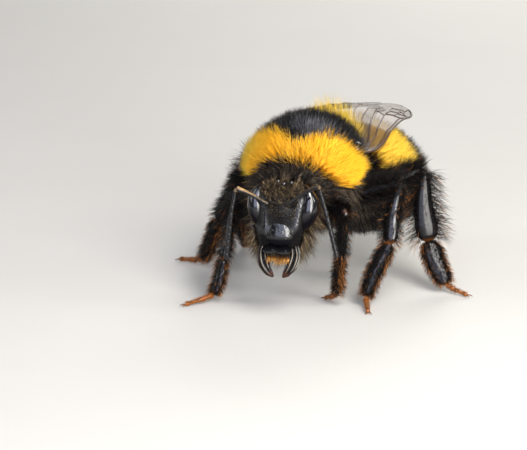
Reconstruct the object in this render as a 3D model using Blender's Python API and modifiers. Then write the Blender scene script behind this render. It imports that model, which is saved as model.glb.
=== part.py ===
"""A queen bumblebee standing on its six feet, life size.

Each named part is one closed solid that reaches out to the tips of the coat.
The bee looks along -Y, its left side is at +X and the floor is at Z = 0.
Sizes below are in millimetres and are turned into metres as meshes are made.
"""

import math

import bmesh
import bpy
import numpy as np
from mathutils import Matrix, Vector

MM = 0.001
GAP = 0.05              # clear space between two solids that touch
FLOOR = 0.0
SIDES = (("left", 1), ("right", -1))

# Thorax: the ball of fur in the middle of the bee.
THORAX_CENTRE = (0.0, 0.0, 9.0)
THORAX_HALF_WIDTH = 4.65
THORAX_HALF_LENGTH = 4.35
THORAX_TOP = 4.0
THORAX_BOTTOM = 4.5
THORAX_PITCH = 6.0      # degrees, nose down
THORAX_YAW = 6.0        # degrees, the back end towards the bee's left
THORAX_SQUARENESS = 2.15
CREST_HEIGHT = 1.50     # longer hair over the scutellum, at the back of the top
CREST_PLACE = 3.3
CREST_LENGTH = 1.35
CREST_HALF_WIDTH = 3.6

# Head: a deep face that hangs in front of the thorax.
HEAD_CENTRE = (0.17, -5.2, 7.35)
HEAD_YAW = 10.0         # degrees, towards the bee's left
HEAD_ROLL = 1.5
# height, half width, front, back: one row for each level of the head
HEAD_LEVELS = (
    (2.32, 0.75, 0.35, 0.75),
    (2.12, 1.35, 0.75, 1.05),
    (1.60, 1.95, 1.10, 1.30),
    (0.90, 2.25, 1.35, 1.45),
    (0.10, 2.28, 1.42, 1.45),
    (-0.75, 2.10, 1.42, 1.30),
    (-1.50, 1.80, 1.40, 1.05),
    (-2.10, 1.45, 1.30, 0.80),
    (-2.40, 1.05, 1.05, 0.55),
)
HEAD_SQUARENESS = 2.5

EYE_CENTRE = (2.0, 0.1, 0.45)
EYE_HALF = (0.64, 0.95, 1.58)
EYE_LEAN = 6.0          # degrees, the eyes draw together at the top

CLYPEUS_CENTRE = (0.0, -1.22, -1.30)
CLYPEUS_HALF = (1.12, 0.62, 1.02)
LABRUM_CENTRE = (0.0, -1.30, -2.52)
LABRUM_HUMP = 0.50
LABRUM_HALF = (0.60, 0.50, 0.36)

# Mandibles: the middle line of the left one, from its hinge to its tip
MANDIBLE_PATH = (
    (1.30, -0.85, -2.05),
    (1.42, -1.25, -2.85),
    (1.05, -1.55, -3.60),
    (0.42, -1.62, -4.20),
)
MANDIBLE_HALF = ((0.50, 0.42), (0.46, 0.36), (0.40, 0.30), (0.26, 0.25))

# Feelers: socket, elbow and two points of the whip beyond it
FEELER_RIGHT = ((-0.24, -6.70, 8.20), (-2.44, -7.48, 9.24), (-2.66, -7.75, 7.60), (-2.97, -8.00, 4.25))
FEELER_LEFT = ((1.06, -6.47, 8.20), (3.29, -6.45, 9.86), (3.66, -6.70, 8.00), (4.57, -6.87, 4.80))
# share of the length and two half widths, as for the legs below
SCAPE_SECTIONS = ((0.0, 0.26, 0.26), (0.5, 0.25, 0.25), (1.0, 0.27, 0.27))
WHIP_BASE_SECTIONS = ((0.0, 0.25, 0.25), (0.6, 0.27, 0.27), (1.0, 0.27, 0.27))
WHIP_END_SECTIONS = ((0.0, 0.27, 0.27), (0.5, 0.27, 0.27), (0.92, 0.25, 0.25), (1.0, 0.14, 0.14))
FEELER_SIDES = 8

# Tegula: the round plate over each wing's hinge
TEGULA_CENTRE = (3.85, 0.05, 10.85)
TEGULA_HALF = (0.62, 0.85, 0.75)

# Abdomen: the hoop at each level from the waist to the tip.
# along the body, sideways, height, half width, half height
HOOPS = (
    (3.3, 0.25, 7.70, 1.20, 1.20),
    (4.3, 0.40, 7.65, 2.70, 2.40),
    (5.1, 0.52, 7.45, 4.25, 3.60),
    (6.3, 0.68, 7.05, 4.85, 4.20),
    (7.9, 0.85, 6.65, 4.70, 4.30),
    (9.6, 1.00, 6.30, 4.55, 4.20),
    (11.3, 1.15, 5.85, 4.10, 3.75),
    (12.8, 1.28, 5.40, 3.35, 3.05),
    (14.1, 1.40, 4.92, 2.30, 2.10),
    (15.0, 1.47, 4.55, 1.25, 1.15),
    (15.5, 1.50, 4.35, 0.45, 0.45),
)
SEGMENT_ENDS = (3.3, 6.3, 8.5, 10.7, 12.6, 14.1, 15.5)
SEGMENT_FINISHES = ("golden_fur", "black_fur", "black_fur", "white_fur", "white_fur", "black_fur")
RINGS_PER_SEGMENT = 3
RINGS_PER_END_SEGMENT = 5
ABDOMEN_SIDES = 24
HOOP_BLEND = 0.45       # rounds the outline between the rows above

# Wings: laid back over the abdomen, the outer edge low and the inner edge high.
WING_ROOT_Y = 1.15
WING_TIP_Y = 17.2
WING_THICKNESS = 0.5
WING_LIFT = 0.32        # clear of the coat under the wing
# share of the span, outer edge, line between the two wings, inner edge
WING_OUTLINE = (
    (0.00, 4.35, 3.85, 3.50),
    (0.12, 4.60, 3.20, 2.20),
    (0.25, 4.35, 2.50, 1.00),
    (0.40, 4.05, 1.95, 0.36),
    (0.55, 3.75, 1.60, 0.30),
    (0.68, 3.35, 1.25, 0.36),
    (0.82, 2.65, 0.80, 0.50),
    (0.93, 1.85, 0.45, 0.40),
    (1.00, 1.15, 0.40, 0.35),
)
WING_DRIFT = 0.5        # both wings' tips lie this far to the bee's left
HINDWING_SHARE = 0.70
WING_EDGE_GAP = 0.12
WING_RIDGE = ((0.0, 10.75), (0.22, 11.75), (0.45, 11.65), (1.0, 9.60))
WING_SLOPE = 0.30       # fall from the inner edge to the outer edge

# Legs: corners from the body to the toes.
LEG_CORNERS = {
    "front_right": (
        (-1.0, -2.4, 5.6), (-4.8, -2.0, 6.3), (-4.95, -3.3, 2.9), (-5.3, -4.13, 0.55), (-6.75, -5.85, 0.04),
    ),
    "front_left": (
        (1.2, -2.0, 6.6), (4.15, -3.9, 7.2), (3.65, -3.3, 3.9), (3.02, -2.12, 0.90), (1.75, -1.0, 0.04),
    ),
    "middle_left": (
        (2.4, 0.2, 6.8), (6.3, 1.4, 8.1), (6.19, -0.4, 4.28), (4.75, -1.3, 0.60), (5.6, -3.3, 0.04),
    ),
    "middle_right": (
        (-2.4, 0.5, 5.6), (-6.0, 2.5, 7.5), (-7.8, 3.2, 3.8), (-9.2, 3.9, 0.58), (-11.3, 4.85, 0.04),
    ),
    "hind_left": (
        (2.3, 2.6, 5.9), (6.8, 5.3, 8.2), (7.4, 4.6, 3.3), (9.0, 3.6, 0.58), (10.7, 3.0, 0.04),
    ),
    "hind_right": (
        (-2.0, 2.6, 5.9), (-6.3, 5.8, 8.0), (-7.6, 7.0, 3.3), (-8.0, 9.3, 0.60), (-8.6, 11.7, 0.04),
    ),
}
LEG_PIECES = ("femur", "tibia", "basitarsus", "tarsus")
# share of the length, half width in the plane of the leg, half thickness
LEG_SECTIONS = {
    "front": {
        "femur": ((0.0, 0.50, 0.45), (0.35, 0.66, 0.55), (0.8, 0.55, 0.45), (1.0, 0.44, 0.40)),
        "tibia": ((0.0, 0.42, 0.38), (0.35, 0.50, 0.42), (0.8, 0.58, 0.46), (1.0, 0.44, 0.38)),
        "basitarsus": ((0.0, 0.38, 0.34), (0.25, 0.54, 0.40), (0.8, 0.52, 0.38), (1.0, 0.34, 0.30)),
        "tarsus": ((0.0, 0.28, 0.28), (0.4, 0.27, 0.27), (0.84, 0.27, 0.32), (1.0, 0.25, 0.42)),
    },
    "middle": {
        "femur": ((0.0, 0.55, 0.50), (0.35, 0.72, 0.60), (0.8, 0.60, 0.50), (1.0, 0.46, 0.42)),
        "tibia": ((0.0, 0.45, 0.40), (0.35, 0.60, 0.44), (0.8, 0.72, 0.46), (1.0, 0.50, 0.38)),
        "basitarsus": ((0.0, 0.44, 0.36), (0.20, 0.74, 0.42), (0.75, 0.62, 0.38), (1.0, 0.38, 0.32)),
        "tarsus": ((0.0, 0.32, 0.30), (0.4, 0.29, 0.29), (0.75, 0.27, 0.32), (1.0, 0.25, 0.45)),
    },
    "hind": {
        "femur": ((0.0, 0.60, 0.55), (0.35, 0.80, 0.64), (0.8, 0.66, 0.52), (1.0, 0.50, 0.44)),
        "tibia": ((0.0, 0.48, 0.42), (0.35, 0.78, 0.46), (0.8, 0.98, 0.48), (1.0, 0.66, 0.40)),
        "basitarsus": ((0.0, 0.52, 0.36), (0.20, 0.86, 0.42), (0.75, 0.74, 0.38), (1.0, 0.42, 0.32)),
        "tarsus": ((0.0, 0.34, 0.30), (0.4, 0.30, 0.29), (0.75, 0.28, 0.32), (1.0, 0.25, 0.45)),
    },
}
BEND_RADIUS = 0.42      # of a limb's centre line as it turns at a joint
BEND_REACH = (0.35, 1.15)   # least and most length of each run that a joint takes
LEG_SIDES = 10

# Finishes: colour, roughness, metallic
FINISHES = {
    "black_fur": ((0.020, 0.018, 0.017), 0.85, 0.0),
    "golden_fur": ((0.780, 0.480, 0.035), 0.85, 0.0),
    "white_fur": ((0.780, 0.760, 0.680), 0.85, 0.0),
    "black_shell": ((0.012, 0.012, 0.014), 0.22, 0.0),
    "eye": ((0.018, 0.012, 0.010), 0.12, 0.0),
    "feeler": ((0.030, 0.026, 0.024), 0.45, 0.0),
    "leg": ((0.026, 0.018, 0.014), 0.50, 0.0),
    "foot": ((0.200, 0.085, 0.035), 0.50, 0.0),
    "wing": ((0.260, 0.170, 0.110), 0.35, 0.0),
}


def clear_scene():
    """Remove what the file opened with."""
    for item in list(bpy.data.objects):
        bpy.data.objects.remove(item, do_unlink=True)


def make_collection(name):
    group = bpy.data.collections.new(name)
    bpy.context.scene.collection.children.link(group)
    return group


def make_material(name):
    """A plain finish from its row in the table."""
    colour, roughness, metallic = FINISHES[name]
    material = bpy.data.materials.new(name)
    material.use_nodes = True
    shader = material.node_tree.nodes["Principled BSDF"]
    shader.inputs["Base Color"].default_value = (*colour, 1.0)
    shader.inputs["Roughness"].default_value = roughness
    shader.inputs["Metallic"].default_value = metallic
    return material


clear_scene()
BEE = make_collection("bumblebee")
CUTTERS = make_collection("cutters")
MATERIALS = {name: make_material(name) for name in FINISHES}
BODY = bpy.data.objects.new("bumblebee_body", None)
BEE.objects.link(BODY)


def mesh_object(name, bm, finish):
    """Turn a bmesh in millimetres into an object in metres."""
    bmesh.ops.recalc_face_normals(bm, faces=bm.faces)
    bmesh.ops.scale(bm, vec=(MM, MM, MM), verts=bm.verts)
    mesh = bpy.data.meshes.new(name)
    bm.to_mesh(mesh)
    bm.free()
    mesh.shade_smooth()
    mesh.materials.append(MATERIALS[finish])
    obj = bpy.data.objects.new(name, mesh)
    BEE.objects.link(obj)
    obj.parent = BODY
    return obj


def as_cutter(obj):
    """Move an object to the cutters, shown as wire only."""
    BEE.objects.unlink(obj)
    CUTTERS.objects.link(obj)
    obj.hide_render = True
    obj.display_type = "WIRE"
    return obj


def cut(obj, *cutters):
    for cutter in cutters:
        change = obj.modifiers.new("clear of " + cutter.name, "BOOLEAN")
        change.operation = "DIFFERENCE"
        change.object = cutter


def loft(rings):
    """Join rings of equal count into a closed skin with flat ends."""
    bm = bmesh.new()
    rows = [[bm.verts.new(point) for point in ring] for ring in rings]
    for lower, upper in zip(rows, rows[1:]):
        count = len(lower)
        for i in range(count):
            j = (i + 1) % count
            bm.faces.new((lower[i], lower[j], upper[j], upper[i]))
    bm.faces.new(rows[0][::-1])
    bm.faces.new(rows[-1])
    return bm


def superpower(value, squareness):
    return np.sign(value) * np.abs(value) ** (2.0 / squareness)


def head_matrix():
    """From the head's own frame to the bee's."""
    yaw = Matrix.Rotation(math.radians(HEAD_YAW), 4, "Z")
    roll = Matrix.Rotation(math.radians(HEAD_ROLL), 4, "Y")
    return Matrix.Translation(HEAD_CENTRE) @ yaw @ roll


def ellipsoid(centre, half, segments, rings):
    """A ball from the sphere primitive, its poles along Z."""
    bm = bmesh.new()
    bmesh.ops.create_uvsphere(bm, u_segments=segments, v_segments=rings, radius=1.0)
    bmesh.ops.scale(bm, vec=half, verts=bm.verts)
    bmesh.ops.translate(bm, vec=centre, verts=bm.verts)
    return bm


def thorax_form(grow=0.0):
    """A slightly square ball, deeper below than above, with a crest at the back."""
    bm = bmesh.new()
    bmesh.ops.create_uvsphere(bm, u_segments=26, v_segments=16, radius=1.0)
    poles_along_y = Matrix.Rotation(math.radians(90), 3, "X")
    bmesh.ops.rotate(bm, cent=(0, 0, 0), matrix=poles_along_y, verts=bm.verts)
    for vert in bm.verts:
        x, y, z = superpower(np.array(vert.co), THORAX_SQUARENESS)
        x *= THORAX_HALF_WIDTH + grow
        y *= THORAX_HALF_LENGTH + grow
        along = math.exp(-((y - CREST_PLACE) / CREST_LENGTH) ** 2)
        across = math.exp(-(x / CREST_HALF_WIDTH) ** 4)
        crest = CREST_HEIGHT * along * across * math.sqrt(max(z, 0.0))
        z = z * (THORAX_TOP + grow) + crest if z > 0 else z * (THORAX_BOTTOM + grow)
        vert.co = (x, y, z)
    pitch = Matrix.Rotation(math.radians(THORAX_PITCH), 4, "X")
    yaw = Matrix.Rotation(math.radians(-THORAX_YAW), 4, "Z")
    bmesh.ops.transform(bm, matrix=Matrix.Translation(THORAX_CENTRE) @ yaw @ pitch, verts=bm.verts)
    return bm


def head_form(grow=0.0):
    """Levels of the head, each a rounded oblong, from the crown to the chin."""
    angles = np.linspace(0.0, 2.0 * math.pi, 24, endpoint=False)
    rings = []
    for number, (height, half_width, front, back) in enumerate(HEAD_LEVELS):
        lift = grow if number == 0 else -grow if number == len(HEAD_LEVELS) - 1 else 0.0
        x = superpower(np.cos(angles), HEAD_SQUARENESS) * (half_width + grow)
        y = superpower(np.sin(angles), HEAD_SQUARENESS)
        y = np.where(y < 0, y * (front + grow), y * (back + grow))
        rings.append(np.column_stack((x, y, np.full_like(x, height + lift))))
    bm = loft(rings)
    bmesh.ops.transform(bm, matrix=head_matrix(), verts=bm.verts)
    return bm


def eye_form(side, grow=0.0):
    centre = (side * EYE_CENTRE[0], EYE_CENTRE[1], EYE_CENTRE[2])
    bm = ellipsoid((0, 0, 0), [size + grow for size in EYE_HALF], 16, 12)
    lean = Matrix.Rotation(math.radians(-side * EYE_LEAN), 4, "Y")
    bmesh.ops.transform(bm, matrix=head_matrix() @ Matrix.Translation(centre) @ lean, verts=bm.verts)
    return bm


def clypeus_form(grow=0.0):
    """The shield in the middle of the face."""
    bm = ellipsoid(CLYPEUS_CENTRE, [size + grow for size in CLYPEUS_HALF], 16, 12)
    bmesh.ops.transform(bm, matrix=head_matrix(), verts=bm.verts)
    return bm


def labrum_form():
    """The lip: a bar that swells into two humps."""
    rings = []
    angles = np.linspace(0.0, 2.0 * math.pi, 10, endpoint=False)
    reach = LABRUM_HUMP + LABRUM_HALF[0]
    for share in np.linspace(-0.96, 0.96, 9):
        offset = abs(share) * reach
        swell = math.sqrt(max(0.0, 1.0 - ((offset - LABRUM_HUMP) / LABRUM_HALF[0]) ** 2))
        x = np.full_like(angles, share * reach)
        y = np.cos(angles) * LABRUM_HALF[1] * swell
        z = np.sin(angles) * LABRUM_HALF[2] * swell
        rings.append(np.column_stack((x, y, z)) + LABRUM_CENTRE)
    bm = loft(rings)
    bmesh.ops.transform(bm, matrix=head_matrix(), verts=bm.verts)
    return bm


def oval_ring(centre, direction, reference, half_wide, half_thick, sides):
    """Points round a path: half_wide across the reference, half_thick along it."""
    direction = direction / np.linalg.norm(direction)
    thick = reference - np.dot(reference, direction) * direction
    thick = thick / np.linalg.norm(thick)
    wide = np.cross(direction, thick)
    angles = np.linspace(0.0, 2.0 * math.pi, sides, endpoint=False)
    along = np.outer(np.cos(angles) * half_thick, thick)
    across = np.outer(np.sin(angles) * half_wide, wide)
    return centre + along + across


def bend_reach(corner, before, after):
    """How far from a corner its curve starts: more for a sharper turn."""
    arriving = (corner - before) / np.linalg.norm(corner - before)
    leaving = (after - corner) / np.linalg.norm(after - corner)
    half_turn = math.acos(np.clip(np.dot(arriving, leaving), -1.0, 1.0)) / 2
    return float(np.clip(BEND_RADIUS * math.sin(half_turn) / math.cos(half_turn) ** 2, *BEND_REACH))


def bend(corner, before, after, share):
    """Centre and direction on the curve that rounds a corner."""
    reach = bend_reach(corner, before, after)
    start = corner + (before - corner) * reach / np.linalg.norm(before - corner)
    end = corner + (after - corner) * reach / np.linalg.norm(after - corner)
    centre = (1 - share) ** 2 * start + 2 * share * (1 - share) * corner + share ** 2 * end
    direction = (1 - share) * (corner - start) + share * (end - corner)
    return centre, direction / np.linalg.norm(direction)


def limb_piece(corners, index, sections, reference, sides):
    """Rings of one piece of a jointed limb, mitred half way round each joint."""
    first, last = corners[index], corners[index + 1]
    length = np.linalg.norm(last - first)
    straight = (last - first) / length
    stations = []
    low, high = 0.0, 1.0
    jointed = index + 2 < len(corners)
    if index > 0:
        low = bend_reach(first, corners[index - 1], last) / length
        for share in (0.5, 0.75):
            centre, direction = bend(first, corners[index - 1], last, share)
            shift = GAP / 2 if share == 0.5 else 0.0
            stations.append(((2 * share - 1) * low, centre + direction * shift, direction))
    if jointed:
        high = 1.0 - bend_reach(last, first, corners[index + 2]) / length
    inner = [row[0] for row in sections if low + 0.08 < row[0] < high - 0.08]
    for share in [low, *inner, high]:
        stations.append((share, first + straight * share * length, straight))
    if jointed:
        for share in (0.25, 0.5):
            centre, direction = bend(last, first, corners[index + 2], share)
            shift = -GAP / 2 if share == 0.5 else 0.0
            stations.append((1.0 - (1 - 2 * share) * (1 - high), centre + direction * shift, direction))
    shares, wides, thicks = zip(*sections)
    rings = []
    for share, centre, direction in stations:
        half_wide = np.interp(share, shares, wides)
        half_thick = np.interp(share, shares, thicks)
        rings.append(oval_ring(centre, direction, reference, half_wide, half_thick, sides))
    return rings


def leg(place):
    """Four pieces from the body to the toes; the toes lie flat on the floor."""
    corners = [np.array(point) for point in LEG_CORNERS[place]]
    sections = LEG_SECTIONS[place.split("_")[0]]
    leg_plane = np.cross(corners[1] - corners[0], corners[2] - corners[1])
    toe_plane = np.cross(corners[4] - corners[3], (0.0, 0.0, 1.0))
    toe_plane *= math.copysign(1.0, np.dot(toe_plane, leg_plane))
    for index, piece in enumerate(LEG_PIECES):
        is_toe = piece == "tarsus"
        across = toe_plane if is_toe else leg_plane
        bm = loft(limb_piece(corners, index, sections[piece], across, LEG_SIDES))
        if is_toe:
            for vert in bm.verts:
                vert.co.z = max(vert.co.z, FLOOR)
        obj = mesh_object(f"leg_{place}_{piece}", bm, "foot" if is_toe else "leg")
        if piece == "femur":
            cut(obj, thorax_cutter)


def feeler(side, corners):
    """A scape and a whip that meet at the elbow."""
    corners = [np.array(point) for point in corners]
    reference = np.cross(corners[1] - corners[0], corners[3] - corners[1])
    scape = loft(limb_piece(corners, 0, SCAPE_SECTIONS, reference, FEELER_SIDES))
    cut(mesh_object(f"scape_{side}", scape, "feeler"), head_cutter)
    rings = limb_piece(corners, 1, WHIP_BASE_SECTIONS, reference, FEELER_SIDES)
    rings += limb_piece(corners, 2, WHIP_END_SECTIONS, reference, FEELER_SIDES)[1:]
    mesh_object(f"flagellum_{side}", loft(rings), "feeler")


def mandible(side, sign):
    """A jaw that hooks in towards the middle below the lip."""
    points = [np.array((sign * x, y, z)) for x, y, z in MANDIBLE_PATH]
    rings = []
    for index, point in enumerate(points):
        ahead = points[min(index + 1, len(points) - 1)]
        behind = points[max(index - 1, 0)]
        half_wide, half_thick = MANDIBLE_HALF[index]
        rings.append(oval_ring(point, ahead - behind, np.array((0.0, 1.0, 0.0)), half_wide, half_thick, 8))
    bm = loft(rings)
    bmesh.ops.transform(bm, matrix=head_matrix(), verts=bm.verts)
    obj = mesh_object(f"mandible_{side}", bm, "black_shell")
    cut(obj, head_cutter)


def hoop_at(y):
    """Centre and half sizes of the abdomen at a place along the body, rounded between rows."""
    table = np.array(HOOPS)
    blend = min(HOOP_BLEND, y - HOOPS[0][0], HOOPS[-1][0] - y)
    total = np.zeros(4)
    for step, weight in ((-blend, 0.25), (0.0, 0.5), (blend, 0.25)):
        total += weight * np.array([np.interp(y + step, table[:, 0], table[:, k]) for k in range(1, 5)])
    return total


def abdomen():
    """Hoops from the waist to the tip, parted into six segments."""
    angles = np.linspace(0.0, 2.0 * math.pi, ABDOMEN_SIDES, endpoint=False)
    last = len(SEGMENT_FINISHES) - 1
    for number, (start, end) in enumerate(zip(SEGMENT_ENDS, SEGMENT_ENDS[1:])):
        first = start if number == 0 else start + GAP / 2
        final = end if number == last else end - GAP / 2
        count = RINGS_PER_SEGMENT if 0 < number < last else RINGS_PER_END_SEGMENT
        rings = []
        for y in np.linspace(first, final, count):
            x, z, half_width, half_height = hoop_at(y)
            across = x + half_width * np.cos(angles)
            up = z + half_height * np.sin(angles)
            rings.append(np.column_stack((across, np.full_like(angles, y), up)))
        obj = mesh_object(f"abdomen_{number + 1}", loft(rings), SEGMENT_FINISHES[number])
        if number == 0:
            cut(obj, thorax_cutter)


def wing_sheet(sign, outer_column, inner_column, end_share, outer_gap):
    """An open sheet between two of the wing's lines."""
    table = np.array(WING_OUTLINE)
    ridge = np.array(WING_RIDGE)
    spans = np.linspace(0.0, end_share, 11)
    bm = bmesh.new()
    rows = []
    for span in spans:
        y = WING_ROOT_Y + (WING_TIP_Y - WING_ROOT_Y) * span
        shift = WING_DRIFT * span
        outer = np.interp(span, table[:, 0], table[:, outer_column]) - outer_gap
        inner = np.interp(span, table[:, 0], table[:, inner_column])
        top = np.interp(span, ridge[:, 0], ridge[:, 1]) + WING_LIFT
        row = []
        for across in np.linspace(outer, inner, 4):
            row.append(bm.verts.new((shift + sign * across, y, top - WING_SLOPE * across)))
        rows.append(row)
    for near, far in zip(rows, rows[1:]):
        for i in range(3):
            bm.faces.new((near[i], near[i + 1], far[i + 1], far[i]))
    return bm


def wing(side, sign):
    """The forewing outside and the hindwing inside it, each a thin plate."""
    sheets = {"forewing": (1, 2, 1.0, 0.0), "hindwing": (2, 3, HINDWING_SHARE, WING_EDGE_GAP)}
    for kind, (outer, inner, end_share, outer_gap) in sheets.items():
        bm = wing_sheet(sign, outer, inner, end_share, outer_gap)
        obj = mesh_object(f"{kind}_{side}", bm, "wing")
        plate = obj.modifiers.new("thickness", "SOLIDIFY")
        plate.thickness = WING_THICKNESS * MM
        plate.offset = 0.0
        cut(obj, thorax_cutter)


def tegula(side, sign):
    centre = (sign * TEGULA_CENTRE[0], TEGULA_CENTRE[1], TEGULA_CENTRE[2])
    obj = mesh_object(f"tegula_{side}", ellipsoid(centre, TEGULA_HALF, 14, 8), "black_shell")
    cut(obj, thorax_cutter)


def stand_at_origin():
    """Bring the middle of the outline over the origin; the feet are at the floor already."""
    bpy.context.view_layer.update()
    graph = bpy.context.evaluated_depsgraph_get()
    corners = []
    for obj in BEE.objects:
        if obj.type == "MESH":
            box = obj.evaluated_get(graph).bound_box
            corners += [obj.matrix_world @ Vector(corner) for corner in box]
    middle = (np.min(corners, axis=0) + np.max(corners, axis=0)) / 2
    BODY.location = (-middle[0], -middle[1], 0.0)


thorax_cutter = as_cutter(mesh_object("thorax_cutter", thorax_form(GAP), "black_fur"))
head_cutter = as_cutter(mesh_object("head_cutter", head_form(GAP), "black_fur"))
eye_cutters = []
for side, sign in SIDES:
    eye_cutters.append(as_cutter(mesh_object(f"eye_cutter_{side}", eye_form(sign, GAP), "eye")))
clypeus_cutter = as_cutter(mesh_object("clypeus_cutter", clypeus_form(GAP), "black_shell"))

thorax = mesh_object("thorax", thorax_form(), "golden_fur")
cut(thorax, head_cutter, *eye_cutters)
head = mesh_object("head", head_form(), "black_fur")
cut(head, *eye_cutters)
clypeus = mesh_object("clypeus", clypeus_form(), "black_shell")
cut(clypeus, head_cutter)
labrum = mesh_object("labrum", labrum_form(), "black_shell")
cut(labrum, head_cutter, clypeus_cutter)
abdomen()
feeler("right", FEELER_RIGHT)
feeler("left", FEELER_LEFT)
for side, sign in SIDES:
    mesh_object(f"eye_{side}", eye_form(sign), "eye")
    mandible(side, sign)
    tegula(side, sign)
    wing(side, sign)
for place in LEG_CORNERS:
    leg(place)
stand_at_origin()
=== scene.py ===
# %% [markdown]
# # A garden bumblebee queen, life size
#
# This notebook dresses the plain solids of a bumblebee with skin, hair, eyes and wings.
# The bee is about 22 mm long, so the shapes are worked out in millimetres, in the bee's own
# frame: it looks along -Y, its left side is at +X, and the floor is at Z = 0.
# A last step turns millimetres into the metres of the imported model.

import math

import bpy
import numpy as np
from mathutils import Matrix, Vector


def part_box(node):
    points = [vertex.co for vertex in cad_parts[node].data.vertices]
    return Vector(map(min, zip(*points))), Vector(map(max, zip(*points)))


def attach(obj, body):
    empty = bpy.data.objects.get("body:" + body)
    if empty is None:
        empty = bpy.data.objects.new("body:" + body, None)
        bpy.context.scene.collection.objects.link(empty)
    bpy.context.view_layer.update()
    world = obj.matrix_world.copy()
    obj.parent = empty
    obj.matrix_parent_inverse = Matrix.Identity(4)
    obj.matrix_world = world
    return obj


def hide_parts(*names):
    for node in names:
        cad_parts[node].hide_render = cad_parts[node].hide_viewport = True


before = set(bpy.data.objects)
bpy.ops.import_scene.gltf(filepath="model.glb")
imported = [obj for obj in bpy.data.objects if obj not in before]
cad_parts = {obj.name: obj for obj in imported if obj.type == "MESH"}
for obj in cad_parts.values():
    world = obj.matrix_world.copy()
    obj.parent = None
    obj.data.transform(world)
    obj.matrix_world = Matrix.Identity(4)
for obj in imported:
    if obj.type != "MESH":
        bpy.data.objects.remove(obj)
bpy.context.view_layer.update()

# %% [markdown]
# ## The frame of the work
#
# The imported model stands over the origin, and the shapes below are drawn round the middle of the
# thorax. The left eye's solid has a known middle in both, so it tells how far apart they are.
# The head and the thorax each have a turned frame of their own, because a head is far easier to
# draw when it looks straight ahead.

# %% Millimetres to metres
MM = 0.001
LEFT, RIGHT = 1.0, -1.0
SIDES = {"left": LEFT, "right": RIGHT}


def turn(axis, degrees):
    """A 3 by 3 rotation about X, Y or Z, for column vectors."""
    c, s = math.cos(math.radians(degrees)), math.sin(math.radians(degrees))
    rows = {
        "X": ((1, 0, 0), (0, c, -s), (0, s, c)),
        "Y": ((c, 0, s), (0, 1, 0), (-s, 0, c)),
        "Z": ((c, -s, 0), (s, c, 0), (0, 0, 1)),
    }
    return np.array(rows[axis], float)


def unit(vectors):
    """Vectors made one long."""
    vectors = np.asarray(vectors, float)
    return vectors / np.maximum(np.linalg.norm(vectors, axis=-1, keepdims=True), 1e-9)


HEAD_CENTRE = np.array((0.17, -5.2, 7.35))
HEAD_TURN = turn("Z", 10.0) @ turn("Y", 1.5)
THORAX_CENTRE = np.array((0.0, 0.0, 9.0))
THORAX_TURN = turn("Z", -6.0) @ turn("X", 6.0)
EYE_CENTRE = np.array((2.0, 0.1, 0.45))


def from_head(points):
    """Points of the head's own frame, in the bee's."""
    return np.asarray(points, float) @ HEAD_TURN.T + HEAD_CENTRE


def to_head(points):
    """Points of the bee's frame, in the head's own."""
    return (np.asarray(points, float) - HEAD_CENTRE) @ HEAD_TURN


def to_thorax(points):
    """Points of the bee's frame, in the thorax's own."""
    return (np.asarray(points, float) - THORAX_CENTRE) @ THORAX_TURN


low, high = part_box("eye_left")
SHIFT = np.array((low + high) / 2) / MM - from_head(EYE_CENTRE)
print("shift in mm", np.round(SHIFT, 3))


def place(points):
    """Millimetres in the bee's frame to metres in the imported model's."""
    return (np.asarray(points, float) + SHIFT) * MM


# %% [markdown]
# ## Making meshes from arrays
#
# Every new piece is a table of points and tables of faces, handed to Blender in one go.
# Values that a material needs, such as how far a point is along a hair, ride on the points.

# %% Meshes, fields and grids
PIECES = {}


def mesh_piece(name, points, faces, material, slot, values=None, uv=None, stands_for=(), in_mm=True):
    """A smooth mesh from points and face tables; values are one number per point."""
    faces = [np.asarray(table, np.int32) for table in faces if len(table)]
    corners = np.concatenate([table.ravel() for table in faces])
    sizes = np.concatenate([np.full(len(table), table.shape[1], np.int32) for table in faces])
    mesh = bpy.data.meshes.new(name)
    mesh.vertices.add(len(points))
    mesh.vertices.foreach_set("co", (place(points) if in_mm else points).astype(np.float32).ravel())
    mesh.loops.add(len(corners))
    mesh.loops.foreach_set("vertex_index", corners)
    mesh.polygons.add(len(sizes))
    mesh.polygons.foreach_set("loop_start", np.concatenate(([0], np.cumsum(sizes)[:-1])).astype(np.int32))
    mesh.update(calc_edges=True)
    mesh.shade_smooth()
    for key, numbers in (values or {}).items():
        layer = mesh.attributes.new(key, "FLOAT", "POINT")
        layer.data.foreach_set("value", np.broadcast_to(np.asarray(numbers, np.float32), len(points)))
    if uv is not None:
        layer = mesh.uv_layers.new(name="OFBake")
        layer.data.foreach_set("uv", uv[corners].astype(np.float32).ravel())
    mesh.materials.append(material)
    obj = bpy.data.objects.new(name, mesh)
    bpy.context.scene.collection.objects.link(obj)
    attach(obj, "root")
    if stands_for:
        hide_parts(*stands_for)
    triangles = int((sizes - 2).sum())
    PIECES[name] = triangles
    print(f"{name}: {triangles} triangles")
    return obj


def waves(points, wavelength, seed):
    """A smooth field in about -1..1: eight sine waves in seeded directions, averaged."""
    rng = np.random.default_rng(seed)
    directions = unit(rng.normal(size=(8, 3))) / (wavelength * rng.uniform(0.7, 1.4, 8))[:, None]
    return np.sin(points @ directions.T * 2 * math.pi + rng.uniform(0, 2 * math.pi, 8)).mean(1) * 2.2


def ring_faces(rows, sides, first=0):
    """Quads between rows of points that close round; each row has sides points."""
    i, j = np.meshgrid(np.arange(rows - 1), np.arange(sides), indexing="ij")
    k = (j + 1) % sides
    quads = np.stack((i * sides + j, i * sides + k, (i + 1) * sides + k, (i + 1) * sides + j), -1)
    return quads.reshape(-1, 4) + first


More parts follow.
